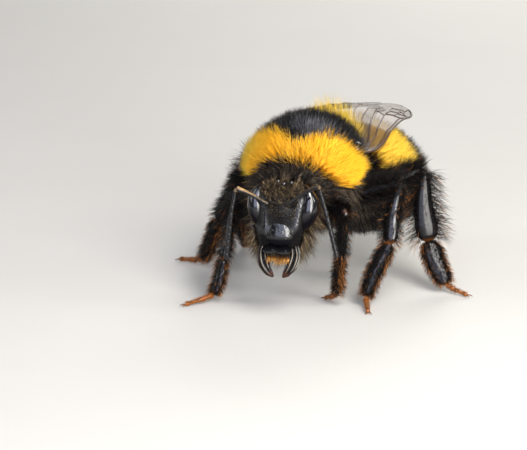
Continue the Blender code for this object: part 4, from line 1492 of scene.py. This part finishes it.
def jaw_grooves(share, angle):
    """Seven ridges round the blade, deepest in its middle, and a notch before the tip."""
    ridges = 0.27 * np.cos(7 * angle + 2.0 * share) * np.sin(math.pi * np.clip(share, 0, 1)) ** 0.6
    return 1 + ridges - 0.16 * np.exp(-((share - 0.80) / 0.05) ** 2) * (np.cos(angle - 1.6) > 0.2)


def ridge_rise(jaw, points, along):
    """How far the ridged blade stands out over the smooth one, as a share of its half size."""
    middle = centre_at(jaw, along)
    smooth = limb_skin(jaw, JAW_ROWS, JAW_SIDES, cap=JAW_CAP)[0]
    ridged_size, smooth_size = (np.linalg.norm(shell - middle, axis=1) for shell in (points, smooth))
    return ridged_size / np.maximum(smooth_size, 0.01) - 1


for side, sign in SIDES.items():
    bow = np.array(JAW_PATH) * (sign, 1, 1) + np.array(JAW_SHIFT[side])[:, None] * (1, 0, 0)
    jaw = limb(rounded_path(bow, 0.5), JAW_SECTIONS, (0.0, 1.0, 0.0), 30)
    points, faces, along = limb_skin(jaw, JAW_ROWS, JAW_SIDES, shape=jaw_grooves, cap=JAW_CAP)
    rise = ridge_rise(jaw, points, along)
    amber = np.clip((along - 0.76) / 0.16, 0, 1) * 0.3 * np.clip((0.99 - along) / 0.06, 0, 1)
    values = {
        "amber": amber,
        # Painted highlight on the tops of the ridges, kept off the reddish point.
        "painted_crest_highlight": np.clip(5.0 * rise - 0.45, 0, 1) * (1 - 3 * amber),
        "gloss": np.clip(0.15 + 4.0 * rise, 0, 1),
    }
    mesh_piece(f"jaw_{side}", from_head(points), faces, JAW_SHELL, "black_shell", values,
               stands_for=[f"mandible_{side}"])

# %% The fringe behind the lip
FRINGE_HAIRS, FRINGE_HALF = 300, 0.76
rng = np.random.default_rng(61)
across = rng.uniform(-FRINGE_HALF, FRINGE_HALF, FRINGE_HAIRS)
roots = np.stack((
    across - 0.06, -1.52 + 0.07 * rng.normal(size=FRINGE_HAIRS), -2.90 - 0.14 * rng.random(FRINGE_HAIRS)), -1)
under_lip = np.broadcast_to((0.0, -0.35, -1.0), roots.shape)
fringe_flow = np.stack((-across * 0.5, np.full(FRINGE_HAIRS, -1.0), np.full(FRINGE_HAIRS, -0.6)), -1)
fringe_length = 0.34 + 0.34 * rng.random(FRINGE_HAIRS) + 0.14 * np.sin(6.0 * across + 1.0)
# Painted shade: bands of hairs across the fringe turn dark, between its lighter strokes.
strands = 0.44 + 0.95 * np.sin(34 * across + 1.5 * np.sin(5 * across))
painted_shade_strands = strands + 0.15 * rng.normal(size=FRINGE_HAIRS)
grow("hair_lip_fringe", from_head(roots), unit(under_lip @ HEAD_TURN.T), fringe_flow @ HEAD_TURN.T,
     fringe_length, 1.15, 0.016, AMBER_HAIR, "golden_fur", fit_unwrap(across, roots[:, 1]), 62,
     rows=3, jitter=0.20, clump=0.45, clump_size=0.18, tint=np.clip(painted_shade_strands, 0, 1), ragged=(0.5, 1.35))

# %% [markdown]
# ## Feelers
#
# A long first joint, a small elbow joint and a whip of ten short joints. Each joint of the
# whip could be an object of its own, but one tube that is a little waisted at ten places looks
# ringed with far fewer faces. The first joint has painted light: warm tan where it faces
# upwards, strong on the right feeler and faint on the left.

# %% Feelers
# socket, elbow, a point of the whip and its tip
FEELERS = {
    "right": ((-0.74, -6.62, 8.10), (-2.44, -7.48, 9.14), (-2.66, -7.75, 7.60), (-2.97, -8.00, 4.25)),
    "left": ((1.06, -6.47, 8.20), (3.07, -6.45, 9.56), (3.66, -6.70, 8.00), (4.57, -6.87, 4.80)),
}
# Painted light on the upper side of each first joint: strong on the right feeler, faint on the left.
FEELER_PAINTED_LIGHT = {"right": 1.0, "left": 0.15}
# the joints' sections: share of the length, half width, half thickness
FIRST_JOINT = (
    (0, 0.12, 0.12),
    (0.10, 0.15, 0.15),
    (0.2, 0.11, 0.11),
    (0.6, 0.14, 0.14),
    (0.95, 0.19, 0.18),
    (1, 0.16, 0.16),
)
ELBOW_JOINT = ((0, 0.11, 0.11), (0.7, 0.15, 0.15), (1, 0.12, 0.12))
WHIP = ((0, 0.10, 0.10), (0.12, 0.125, 0.125), (0.5, 0.165, 0.165), (0.9, 0.182, 0.182), (1.0, 0.15, 0.15))
WHIP_JOINTS = 10


def whip_rings(share, angle):
    """Waisted where the joints meet, the same at every angle."""
    beat = (share * WHIP_JOINTS) % 1.0
    return 1 - 0.26 * np.exp(-(np.minimum(beat, 1 - beat) / 0.08) ** 2)


for side, corners in FEELERS.items():
    socket, elbow, bend_point, tip = (np.array(corner) for corner in corners)
    plane = np.cross(elbow - socket, tip - elbow)
    bow = socket + 0.5 * (elbow - socket) + (0, 0, 0.12)
    down = unit(bend_point - elbow)
    scape = limb(rounded_path((socket - 0.35 * unit(elbow - socket), bow, elbow), 1.0), FIRST_JOINT, plane)
    pedicel = limb((elbow - 0.02 * down, elbow + 0.30 * down), ELBOW_JOINT, plane, 6)
    whip = limb(rounded_path((elbow + 0.26 * down, bend_point, tip), 0.8), WHIP, plane, 40)
    points, faces, along = limb_skin(scape, 24, 20, cap=0.04)
    # Painted light: the upper side of the first joint turns warm tan, more towards the elbow.
    upper = np.clip((points - centre_at(scape, along))[:, 2] / 0.12, 0, 1)
    painted_top_light = upper * (0.62 + 0.45 * waves(points, 0.24, 71)) * FEELER_PAINTED_LIGHT[side] * (0.30 + 0.60 * along)
    base = [(points, faces, {"amber": np.clip(painted_top_light, 0, 1)})]
    base.append((*limb_skin(pedicel, 6, 20, cap=0.3)[:2], {"amber": 0.15}))
    points, faces, values = join(base)
    mesh_piece(f"feeler_base_{side}", points, faces, FEELER_SHELL, "feeler", values,
               stands_for=[f"scape_{side}"])
    points, faces, _ = limb_skin(whip, 110, 20, shape=whip_rings, cap=0.025)
    mesh_piece(f"feeler_whip_{side}", points, faces, FEELER_SHELL, "feeler", {"amber": 0.0},
               stands_for=[f"flagellum_{side}"])

# %% [markdown]
# ## Legs
#
# A leg has a thigh, a shin, a long first foot joint, four small ones and two claws. The
# hind shin is broad and shiny outside, with long hair along both edges: the pollen basket. Six
# legs are alike in build and differ in size and bend, so one function makes a joint from its two
# corners, and a table gives its sections.

# %% Tables of the legs
LEG_SHAPES = {
    "front": {
        "femur": ((0, 0.36, 0.34), (0.35, 0.46, 0.40), (0.8, 0.36, 0.32), (1, 0.30, 0.28)),
        "tibia": ((0, 0.26, 0.24), (0.35, 0.34, 0.30), (0.8, 0.40, 0.32), (1, 0.34, 0.30)),
        "basitarsus": ((0, 0.22, 0.20), (0.2, 0.34, 0.25), (0.8, 0.36, 0.24), (1, 0.28, 0.22)),
    },
    "middle": {
        "femur": ((0, 0.40, 0.36), (0.35, 0.52, 0.44), (0.8, 0.42, 0.36), (1, 0.34, 0.32)),
        "tibia": ((0, 0.30, 0.28), (0.35, 0.42, 0.32), (0.8, 0.54, 0.33), (1, 0.42, 0.30)),
        "basitarsus": ((0, 0.28, 0.24), (0.2, 0.52, 0.27), (0.75, 0.46, 0.25), (1, 0.32, 0.22)),
    },
    "hind": {
        "femur": ((0, 0.44, 0.40), (0.35, 0.60, 0.48), (0.8, 0.48, 0.38), (1, 0.38, 0.34)),
        "tibia": ((0, 0.32, 0.30), (0.35, 0.58, 0.32), (0.8, 0.84, 0.32), (1, 0.60, 0.28)),
        "basitarsus": ((0, 0.36, 0.26), (0.2, 0.70, 0.28), (0.75, 0.60, 0.25), (1, 0.34, 0.22)),
    },
}
FOOT_SHAPE = ((0, 0.19, 0.17), (0.55, 0.17, 0.16), (0.8, 0.13, 0.12), (1, 0.15, 0.13))
FOOT_JOINTS = (0.0, 0.20, 0.38, 0.56, 1.0)
LEG_SQUARE = {"femur": 2.2, "tibia": 2.2, "basitarsus": 2.6, "tarsus": 2.0}
# how amber the shell is at the upper and the lower end of a joint
LEG_AMBER = {"femur": (0.0, 0.1), "tibia": (0.12, 0.6), "basitarsus": (0.12, 0.6)}
LEG_SHINE = {"front": 1.0, "middle": 1.0, "hind": 0.45}
FEMUR_SHINE, FOOT_SHINE, CLAW_SHINE = 0.15, 0.5, 1.0
# per square mm, length, lift and how brown the hair is
LEG_HAIR = {
    "femur": (230, 1.05, 0.70, 0.01),
    "tibia": (135, 0.66, 0.80, 0.04),
    "basitarsus": (250, 0.48, 0.80, 0.05),
    "tarsus": (160, 0.20, 0.50, 0.80),
}
# how much browner it is along the edges of a joint
EDGE_BROWN = {"femur": 0.0, "tibia": 0.04, "basitarsus": 0.34, "tarsus": 0.2}
EDGE_SINE = 0.80
LEG_HAIR_MATERIAL = hair_material(
    "leg_hair", (0.002, 0.0018, 0.0018), (0.008, 0.006, 0.005), (0.80, 0.30, 0.07), 0.7, 0.32,
    Specular_IOR_Level=0.17)


# %% Shell of a leg
def toe_joints(share, angle):
    """Each small joint is narrow where it starts and flares before the next."""
    beat = np.interp(share, FOOT_JOINTS, np.arange(5.0)) % 1.0
    return 0.62 + 0.45 * beat - 0.35 * np.clip((beat - 0.93) / 0.07, 0, 1)


def leg_joint(pair, piece, start, end, plane):
    """A bowed tube between two corners of the leg, and its shell with its values."""
    length, direction = np.linalg.norm(end - start), unit(end - start)
    sense = -1 if piece == "femur" else 1
    bow = 0.5 * (start + end) + 0.05 * length * np.cross(unit(plane), direction) * sense
    path = rounded_path((start - 0.06 * direction, bow, end + 0.06 * direction), 0.6 * length)
    tube = limb(path, LEG_SHAPES[pair][piece], plane, 24)
    points, faces, along = limb_skin(tube, 22, 18, square=LEG_SQUARE[piece], cap=0.10)
    upper, lower = LEG_AMBER[piece]
    amber = lower * np.clip((along - 0.95) / 0.05, 0, 1) + upper * np.clip((0.05 - along) / 0.04, 0, 1)
    shine = FEMUR_SHINE if piece == "femur" else LEG_SHINE[pair]
    return tube, (points, faces, {"amber": amber, "shine": shine})


def foot_joint(heel, toe):
    """The four small joints as one arched tube, and its shell with its values."""
    arch = 0.5 * (heel + toe) - (0, 0, 0.06)
    tube = limb(rounded_path((heel, arch, toe), 0.9), FOOT_SHAPE, np.cross(toe - heel, (0.0, 0.0, 1.0)), 30)
    points, faces, along = limb_skin(tube, 60, 14, shape=toe_joints, cap=0.03)
    return tube, (points, faces, {"amber": 0.75 + 0.2 * np.sin(20 * along), "shine": FOOT_SHINE})


# %% Claws and spurs
def spike(start, direction, down, length, radius):
    """A curved spur or claw: point = start + length (t direction + 0.45 t^2 down)."""
    direction, down = unit(direction), np.asarray(down, float)
    t = np.linspace(0, 1, 7)[:, None]
    path = start + length * (t * direction + 0.45 * t * t * down)
    sections = [(share, size * radius, size * radius) for share, size in ((0, 1.0), (0.5, 0.7), (1, 0.18))]
    return limb_skin(limb(path, sections, (0.3, 0.5, 0.8), 8), 8, 8, cap=0.08)


def claws(heel, toe):
    """Two claws that fork from the last joint."""
    forward = unit((toe - heel) * (1, 1, 0))
    sideways = np.cross(forward, (0, 0, 1.0))
    made = []
    for fork in (-1, 1):
        direction = forward + 0.45 * fork * sideways + (0, 0, 0.25)
        points, faces, along = spike(toe + 0.05 * fork * sideways, direction, (0, 0, -1.0), 0.42, 0.055)
        made.append((points, faces, {"amber": 0.75 - 0.7 * along, "shine": CLAW_SHINE}))
    return made


def spur(ankle, heel, plane):
    """The spur at the lower end of the shin."""
    aside = unit(plane)
    points, faces, _ = spike(ankle, unit(heel - ankle) + 0.35 * aside, 0.2 * aside, 0.55, 0.05)
    return points, faces, {"amber": 0.8, "shine": FOOT_SHINE}


# %% Hair of a leg
def limb_roots(tube, density, seed, square=2.0, keep=None):
    """Roots spread over a limb, with their normals, directions, shares and angles."""
    rng = np.random.default_rng(seed)
    girth = 2 * math.pi * float(np.mean(tube["half_wide"] + tube["half_thick"])) / 2
    count = int(density * HAIR_SHARE * girth * tube["length"])
    share = 0.02 + 0.96 * (np.arange(count) + rng.random(count)) / count
    angle = rng.uniform(0, 2 * math.pi, count)
    if keep is not None:
        kept = keep(angle, rng)
        share, angle = share[kept], angle[kept]
    points, normals, direction = on_limb(tube, share, angle, square)
    return points, normals, direction, share, angle


def on_edge(angle):
    """True along the two narrow edges of a joint."""
    return np.abs(np.sin(angle)) > EDGE_SINE


def basket_edges(angle, rng):
    """Keeps every hair on the edges of the pollen basket and few between them."""
    return rng.random(len(angle)) < 0.12 + 0.88 * on_edge(angle)


def leg_hair(number, pair, order, piece, tube):
    """The roots, lie, length, colour and unwrap of the hair on one joint, as columns."""
    density, length, lift, brown = LEG_HAIR[piece]
    basket = pair == "hind" and piece == "tibia"
    points, normals, direction, share, angle = limb_roots(
        tube, density, 200 + 10 * number + order, LEG_SQUARE[piece], basket_edges if basket else None)
    reach = length * (2.1 if basket else 1.0) * np.where(on_edge(angle), 1.25, 0.85)
    drop = np.maximum(-unit(direction + lift * normals)[:, 2], 0.25)
    near_end = 0.45 * np.clip((share - 0.88) / 0.12, 0, 1) * (piece != "femur")
    tip_brown = brown + EDGE_BROWN[piece] * on_edge(angle) + near_end
    rng = np.random.default_rng(300 + 10 * number + order)
    return {
        "root": points,
        "normal": normals,
        "flow": direction,
        "length": np.minimum(reach, 0.6 * points[:, 2] / drop),
        "lift": np.full(len(points), lift + 0.25 * basket),
        "tint": (rng.random(len(points)) < tip_brown) * rng.uniform(0.4, 1.0, len(points)),
        "unwrap": np.stack((0.01 + (order + angle / (2 * math.pi)) * 0.24, 0.01 + 0.97 * share), -1),
    }


# %% Build the legs
TOE_HEIGHT = 0.10
LOWEST_ROOT = 0.16
for number, (place_name, corners) in enumerate(LEG_CORNERS.items()):
    pair = place_name.split("_")[0]
    hip, knee, ankle, heel, toe = (np.array(corner) for corner in corners)
    toe = toe + (0, 0, TOE_HEIGHT)
    plane = np.cross(knee - hip, ankle - knee)
    tubes, parts = {}, []
    for piece, start, end in (("femur", hip, knee), ("tibia", knee, ankle), ("basitarsus", ankle, heel)):
        tubes[piece], part = leg_joint(pair, piece, start, end, plane)
        parts.append(part)
    tubes["tarsus"], part = foot_joint(heel, toe)
    parts += [part, *claws(heel, toe)]
    if pair != "hind":
        parts.append(spur(ankle, heel, plane))
    points, faces, values = join(parts)
    points[:, 2] = np.maximum(points[:, 2], 0.0)
    values["gloss"] = values.pop("shine") * upward_gloss(points, faces[0])
    mesh_piece(f"shell_leg_{place_name}", points, faces, LEG_SHELL, "leg", values,
               stands_for=[f"leg_{place_name}_{piece}" for piece in tubes])

    joints = [leg_hair(number, pair, order, piece, tube) for order, (piece, tube) in enumerate(tubes.items())]
    columns = {key: np.concatenate([joint[key] for joint in joints]) for key in joints[0]}
    above_floor = columns["root"][:, 2] > LOWEST_ROOT
    columns = {key: column[above_floor] for key, column in columns.items()}
    grow(f"hair_leg_{place_name}", columns["root"], columns["normal"], columns["flow"], columns["length"],
         columns["lift"], 0.013, LEG_HAIR_MATERIAL, "leg", columns["unwrap"], 400 + number,
         rows=2, jitter=0.2, clump=0.15, clump_size=0.3, tint=columns["tint"])

# %% [markdown]
# ## Wings
#
# Folded wings lie back over the abdomen, the forewing over the hindwing. Each is a thin film
# that ripples between its veins; the veins are fine tubes that stand proud of it. A picture of
# veins on a flat sheet would be lighter, but real tubes catch the light and need no image. Film
# and veins are both laid by one formula, so they can't come apart.

# %% The film
# share of the length, then how far the forewing's outer edge, the edge that both wings share
# and the hindwing's inner edge lie from the bee's middle
WING_OUTLINE = np.array((
    (0.00, 4.35, 3.85, 3.50), (0.12, 4.60, 3.20, 2.20), (0.25, 4.35, 2.50, 1.00), (0.40, 4.05, 1.95, 0.36),
    (0.55, 3.75, 1.60, 0.30), (0.68, 3.35, 1.25, 0.36), (0.82, 2.65, 0.80, 0.50), (0.93, 1.85, 0.45, 0.40),
    (1.00, 1.15, 0.40, 0.35),
))
WING_RIDGE = np.array(((0, 10.75), (0.22, 11.75), (0.45, 11.65), (1, 9.60)))
WING_START, WING_LENGTH = 1.15, 16.05
WING_SLOPE = 0.30
# the reaches widen a wing over the shared edge, so that the two overlap
FOREWING = {"columns": (1, 2), "outer_reach": 0.0, "inner_reach": 0.40, "end": 1.0, "lift": 0.40}
HINDWING = {"columns": (2, 3), "outer_reach": 0.30, "inner_reach": 0.0, "end": 0.70, "lift": 0.26}


def outline_at(span, column):
    """An edge of the wing, smoothed between its rows."""
    total = 0
    for step in (-0.05, -0.025, 0, 0.025, 0.05):
        total = total + np.interp(np.clip(span + step, 0, 1), WING_OUTLINE[:, 0], WING_OUTLINE[:, column])
    return total / 5


def on_wing(sign, wing, span, chord):
    """A point of the film: span 0 at the root to 1 at the tip, chord 0 at the front edge to 1.

    height = ridge - 0.30 across + 0.014 sin(20 chord + 3 span). The tip is round, and the root
    is drawn up, in and forward, to its hinge.
    """
    span, chord = np.broadcast_arrays(np.asarray(span, float), np.asarray(chord, float))
    s = span * wing["end"]
    past_hinge = np.clip(s / 0.1, 0, 1)
    before_tip = np.clip((1 - s) / 0.2, 0, 1)
    outer = outline_at(s, wing["columns"][0]) + wing["outer_reach"] * past_hinge
    inner = outline_at(s, wing["columns"][1]) - wing["inner_reach"] * past_hinge * before_tip
    half = 0.5 * (outer - inner) * np.sqrt(np.clip(1 - ((span - 0.86) / 0.14).clip(0, 1) ** 2.5, 0.0, 1))
    across = 0.5 * (outer + inner) + (0.5 - chord) * 2 * half
    top = np.interp(s, WING_RIDGE[:, 0], WING_RIDGE[:, 1]) + wing["lift"]
    ripple = 0.014 * np.sin(chord * 20.0 + 3 * span) * np.clip(span * 4, 0, 1)
    root = np.exp(-(s / 0.045) ** 2)
    side = 0.5 * s + sign * (across - 0.25 * root)
    back = WING_START + WING_LENGTH * s - 0.55 * root
    return np.stack((side, back, top - WING_SLOPE * across + ripple + 0.42 * root), -1)


def wing_film(sign, wing, rows=60, columns=26, thickness=0.03):
    """A closed film: each row runs over the top and back underneath."""
    span = np.linspace(0.0, 0.995, rows)[:, None]
    chord = np.linspace(0, 1, columns)[None, :]
    upper = on_wing(sign, wing, span, chord)
    lower = upper - (0, 0, thickness)
    rings = np.concatenate((upper, lower[:, ::-1]), 1)
    if sign > 0:
        rings = rings[:, ::-1]
    return closed_tube(rings, rings[0].mean(0), rings[-1].mean(0))


# %% The veins
# each vein: its corners as (span, chord), and its radius
FOREWING_VEINS = (
    (((0.0, 0.10), (0.2, 0.05), (0.66, 0.04), (0.93, 0.03)), 0.085),
    (((0.0, 0.25), (0.2, 0.14), (0.5, 0.10), (0.62, 0.06)), 0.065),
    (((0.62, 0.06), (0.665, 0.24), (0.78, 0.27), (0.90, 0.16), (0.94, 0.04)), 0.05),
    (((0.0, 0.40), (0.28, 0.46), (0.44, 0.50), (0.60, 0.56), (0.72, 0.64)), 0.055),
    (((0.44, 0.50), (0.47, 0.28), (0.50, 0.11)), 0.05),
    (((0.485, 0.30), (0.66, 0.37), (0.86, 0.42)), 0.045),
    (((0.60, 0.345), (0.625, 0.14)), 0.04),
    (((0.70, 0.38), (0.70, 0.26)), 0.04),
    (((0.80, 0.405), (0.785, 0.27)), 0.04),
    (((0.60, 0.56), (0.655, 0.37)), 0.04),
    (((0.72, 0.64), (0.79, 0.405)), 0.04),
    (((0.0, 0.62), (0.35, 0.76), (0.60, 0.84)), 0.05),
    (((0.42, 0.495), (0.44, 0.79)), 0.04),
)
HINDWING_VEINS = (
    (((0.0, 0.15), (0.5, 0.08), (0.9, 0.05)), 0.06),
    (((0.0, 0.40), (0.5, 0.42), (0.85, 0.36)), 0.045),
    (((0.46, 0.085), (0.52, 0.42)), 0.04),
    (((0.0, 0.66), (0.5, 0.78), (0.75, 0.86)), 0.04),
)
VEIN_STEPS = 24


def wing_veins(sign, wing, veins):
    """Veins as tubes that follow the film and taper to three quarters of their radius."""
    parts = []
    for corners, radius in veins:
        bends = rounded_path([np.array((*corner, 0.0)) for corner in corners], 0.06, 5)
        steps, at_bends = np.linspace(0, 1, VEIN_STEPS), np.linspace(0, 1, len(bends))
        span, chord = (np.interp(steps, at_bends, bends[:, k]) for k in range(2))
        path = on_wing(sign, wing, span, chord) + (0, 0, 0.01)
        tube = limb(path, ((0, radius, radius), (1, 0.75 * radius, 0.75 * radius)), (0, 0, 1.0), VEIN_STEPS)
        parts.append((*limb_skin(tube, 22, 8, cap=0.03)[:2], {}))
    return join(parts)[:2]


# %% Build the wings
WINGS = {"forewing": (FOREWING, FOREWING_VEINS), "hindwing": (HINDWING, HINDWING_VEINS)}
for side, sign in SIDES.items():
    for kind, (wing, veins) in WINGS.items():
        film = wing_film(sign, wing)
        mesh_piece(f"{kind}_film_{side}", *film, WING_FILM, "wing", stands_for=[f"{kind}_{side}"])
        mesh_piece(f"{kind}_veins_{side}", *wing_veins(sign, wing, veins), WING_VEIN, "wing")

# %% [markdown]
# A small domed plate covers each pair of hinges. It is a squarish ball, leaned outwards.

# %% The plates over the hinges
PLATE_HALF = (0.32, 0.60, 0.50)
PLATE_OUT, PLATE_BACK, PLATE_UP = 3.70, 0.10, 10.66
PLATE_LEAN, PLATE_TILT = 32.0, -8.0
PLATE_SHINE = 0.8
for side, sign in SIDES.items():
    points, faces = ball((0.0, 0.0, 0.0), PLATE_HALF, 24, 32, square=2.1)
    leaned = points @ (turn("Y", -sign * PLATE_LEAN) @ turn("X", PLATE_TILT)).T
    points = leaned + (sign * PLATE_OUT, PLATE_BACK, PLATE_UP)
    values = {"amber": 0.08, "gloss": PLATE_SHINE * upward_gloss(points, faces[0])}
    mesh_piece(f"wing_plate_{side}", points, faces, BLACK_SHELL, "black_shell", values,
               stands_for=[f"tegula_{side}"])

# %% [markdown]
# ## Floor, light and camera
#
# The bee stands on a plain pale floor. Small glossy things need broad lamps, as a small lamp
# leaves only a dot on them. A tall window lamp in front makes the long lights in the eyes and on
# the shell, and a bluish sky lamp beside the camera opens up the black hair. Weaker lamps above,
# on both sides and behind give the coat its bright rim. None of them shows in the picture.

# %% The floor
FLOOR_RADIUS, FLOOR_DEPTH, FLOOR_CORNERS = 1.2, 0.00002, 96
FLOOR_COLOUR = (0.58, 0.57, 0.545)
FLOOR, tree, shader = new_material("pale_floor", Roughness=0.75)
cloud = add_group(tree, MOTTLE, Waves_a_metre=60.0, Low=0.96, High=1.04)
grey = tree.nodes.new("ShaderNodeCombineColor")
for socket, share in zip(grey.inputs[:3], FLOOR_COLOUR):
    tree.links.new(maths(tree, "MULTIPLY", cloud.outputs["Value"], share), socket)
tree.links.new(grey.outputs[0], shader.inputs["Base Color"])
floor_mesh = bpy.data.meshes.new("floor")
floor_mesh.from_pydata(
    [(FLOOR_RADIUS * math.cos(angle), FLOOR_RADIUS * math.sin(angle), -FLOOR_DEPTH)
     for angle in np.linspace(0, 2 * math.pi, FLOOR_CORNERS, endpoint=False)],
    [],
    [tuple(range(FLOOR_CORNERS))],
)
floor_mesh.materials.append(FLOOR)
floor = bpy.data.objects.new("floor", floor_mesh)
bpy.context.scene.collection.objects.link(floor)

# %% The camera's own directions
AZIMUTH, ELEVATION = math.radians(20), math.radians(15)
TOWARDS = np.array((
    math.cos(ELEVATION) * math.sin(AZIMUTH),
    -math.cos(ELEVATION) * math.cos(AZIMUTH),
    math.sin(ELEVATION),
))
ACROSS = np.array((math.cos(AZIMUTH), math.sin(AZIMUTH), 0.0))
UPWARDS = np.cross(TOWARDS, ACROSS)

# %% Lamps
# name, (across, up, towards the camera), distance, width and height, watts, colour
LAMPS = (
    ("window_lamp", (0.43, 0.22, 1.0), 170, (86, 190), 0.60, (1.0, 0.97, 0.93)),
    ("upper_lamp", (0.35, 0.85, 0.8), 170, (90, 60), 0.085, (1.0, 0.97, 0.92)),
    ("side_lamp", (1.0, 0.42, 0.50), 170, (10, 70), 0.06, (1.0, 0.95, 0.86)),
    ("sky_lamp", (-0.14, 0.12, 1.0), 300, (220, 228), 0.44, (0.70, 0.74, 1.0)),
    ("fill_lamp", (-1.0, 0.45, 0.30), 240, (160, 160), 0.14, (0.96, 0.98, 1.0)),
    ("back_lamp", (0.3, 0.8, -1.0), 180, (80, 80), 0.12, (1.0, 0.98, 0.94)),
)
ROOM_LIGHT = (0.86, 0.88, 0.90, 1.0)
ROOM_STRENGTH = 0.19


def lamp(name, direction, distance, size, watts, colour):
    """A lamp with a width and a height that looks at the thorax."""
    light = bpy.data.lights.new(name, "AREA")
    light.shape = "RECTANGLE"
    light.size, light.size_y = size[0] * MM, size[1] * MM
    light.energy = watts
    light.color = colour
    obj = bpy.data.objects.new(name, light)
    obj.visible_camera = False
    across, up, towards = direction
    bearing = unit(across * ACROSS + up * UPWARDS + towards * TOWARDS)
    obj.location = Vector(place(THORAX_CENTRE + distance * bearing))
    obj.rotation_mode = "QUATERNION"
    obj.rotation_quaternion = Vector(bearing).to_track_quat("Z", "Y")
    bpy.context.scene.collection.objects.link(obj)


for row in LAMPS:
    lamp(*row)
world = bpy.data.worlds.new("soft_room")
world.use_nodes = True
world.node_tree.nodes["Background"].inputs["Color"].default_value = ROOM_LIGHT
world.node_tree.nodes["Background"].inputs["Strength"].default_value = ROOM_STRENGTH
bpy.context.scene.world = world
bpy.context.scene.view_settings.view_transform = "Standard"
print("lamps", len(LAMPS), "watts in all", round(sum(row[4] for row in LAMPS), 3))

# %% [markdown]
# A long lens far away keeps the proportions true: near and far legs come out at one scale.

# %% The camera
CAMERA_DISTANCE, LENS, SENSOR = 250.0, 248.0, 36.0
# how far the middle of the picture lies to the left of the thorax's middle, and below it
AIM_LEFT, AIM_BELOW = 3.0, 3.93
camera_data = bpy.data.cameras.new("camera")
camera_data.lens = LENS
camera_data.sensor_width = SENSOR
camera_data.clip_start, camera_data.clip_end = 0.01, 10.0
camera = bpy.data.objects.new("camera", camera_data)
stand = THORAX_CENTRE + CAMERA_DISTANCE * TOWARDS - AIM_LEFT * ACROSS - AIM_BELOW * UPWARDS
camera.location = Vector(place(stand))
camera.rotation_mode = "QUATERNION"
camera.rotation_quaternion = Vector(TOWARDS).to_track_quat("Z", "Y")
bpy.context.scene.collection.objects.link(camera)
bpy.context.scene.camera = camera

# %% Sizes and the end
print("triangles", sum(PIECES.values()), "most in a piece", max(PIECES.values()))
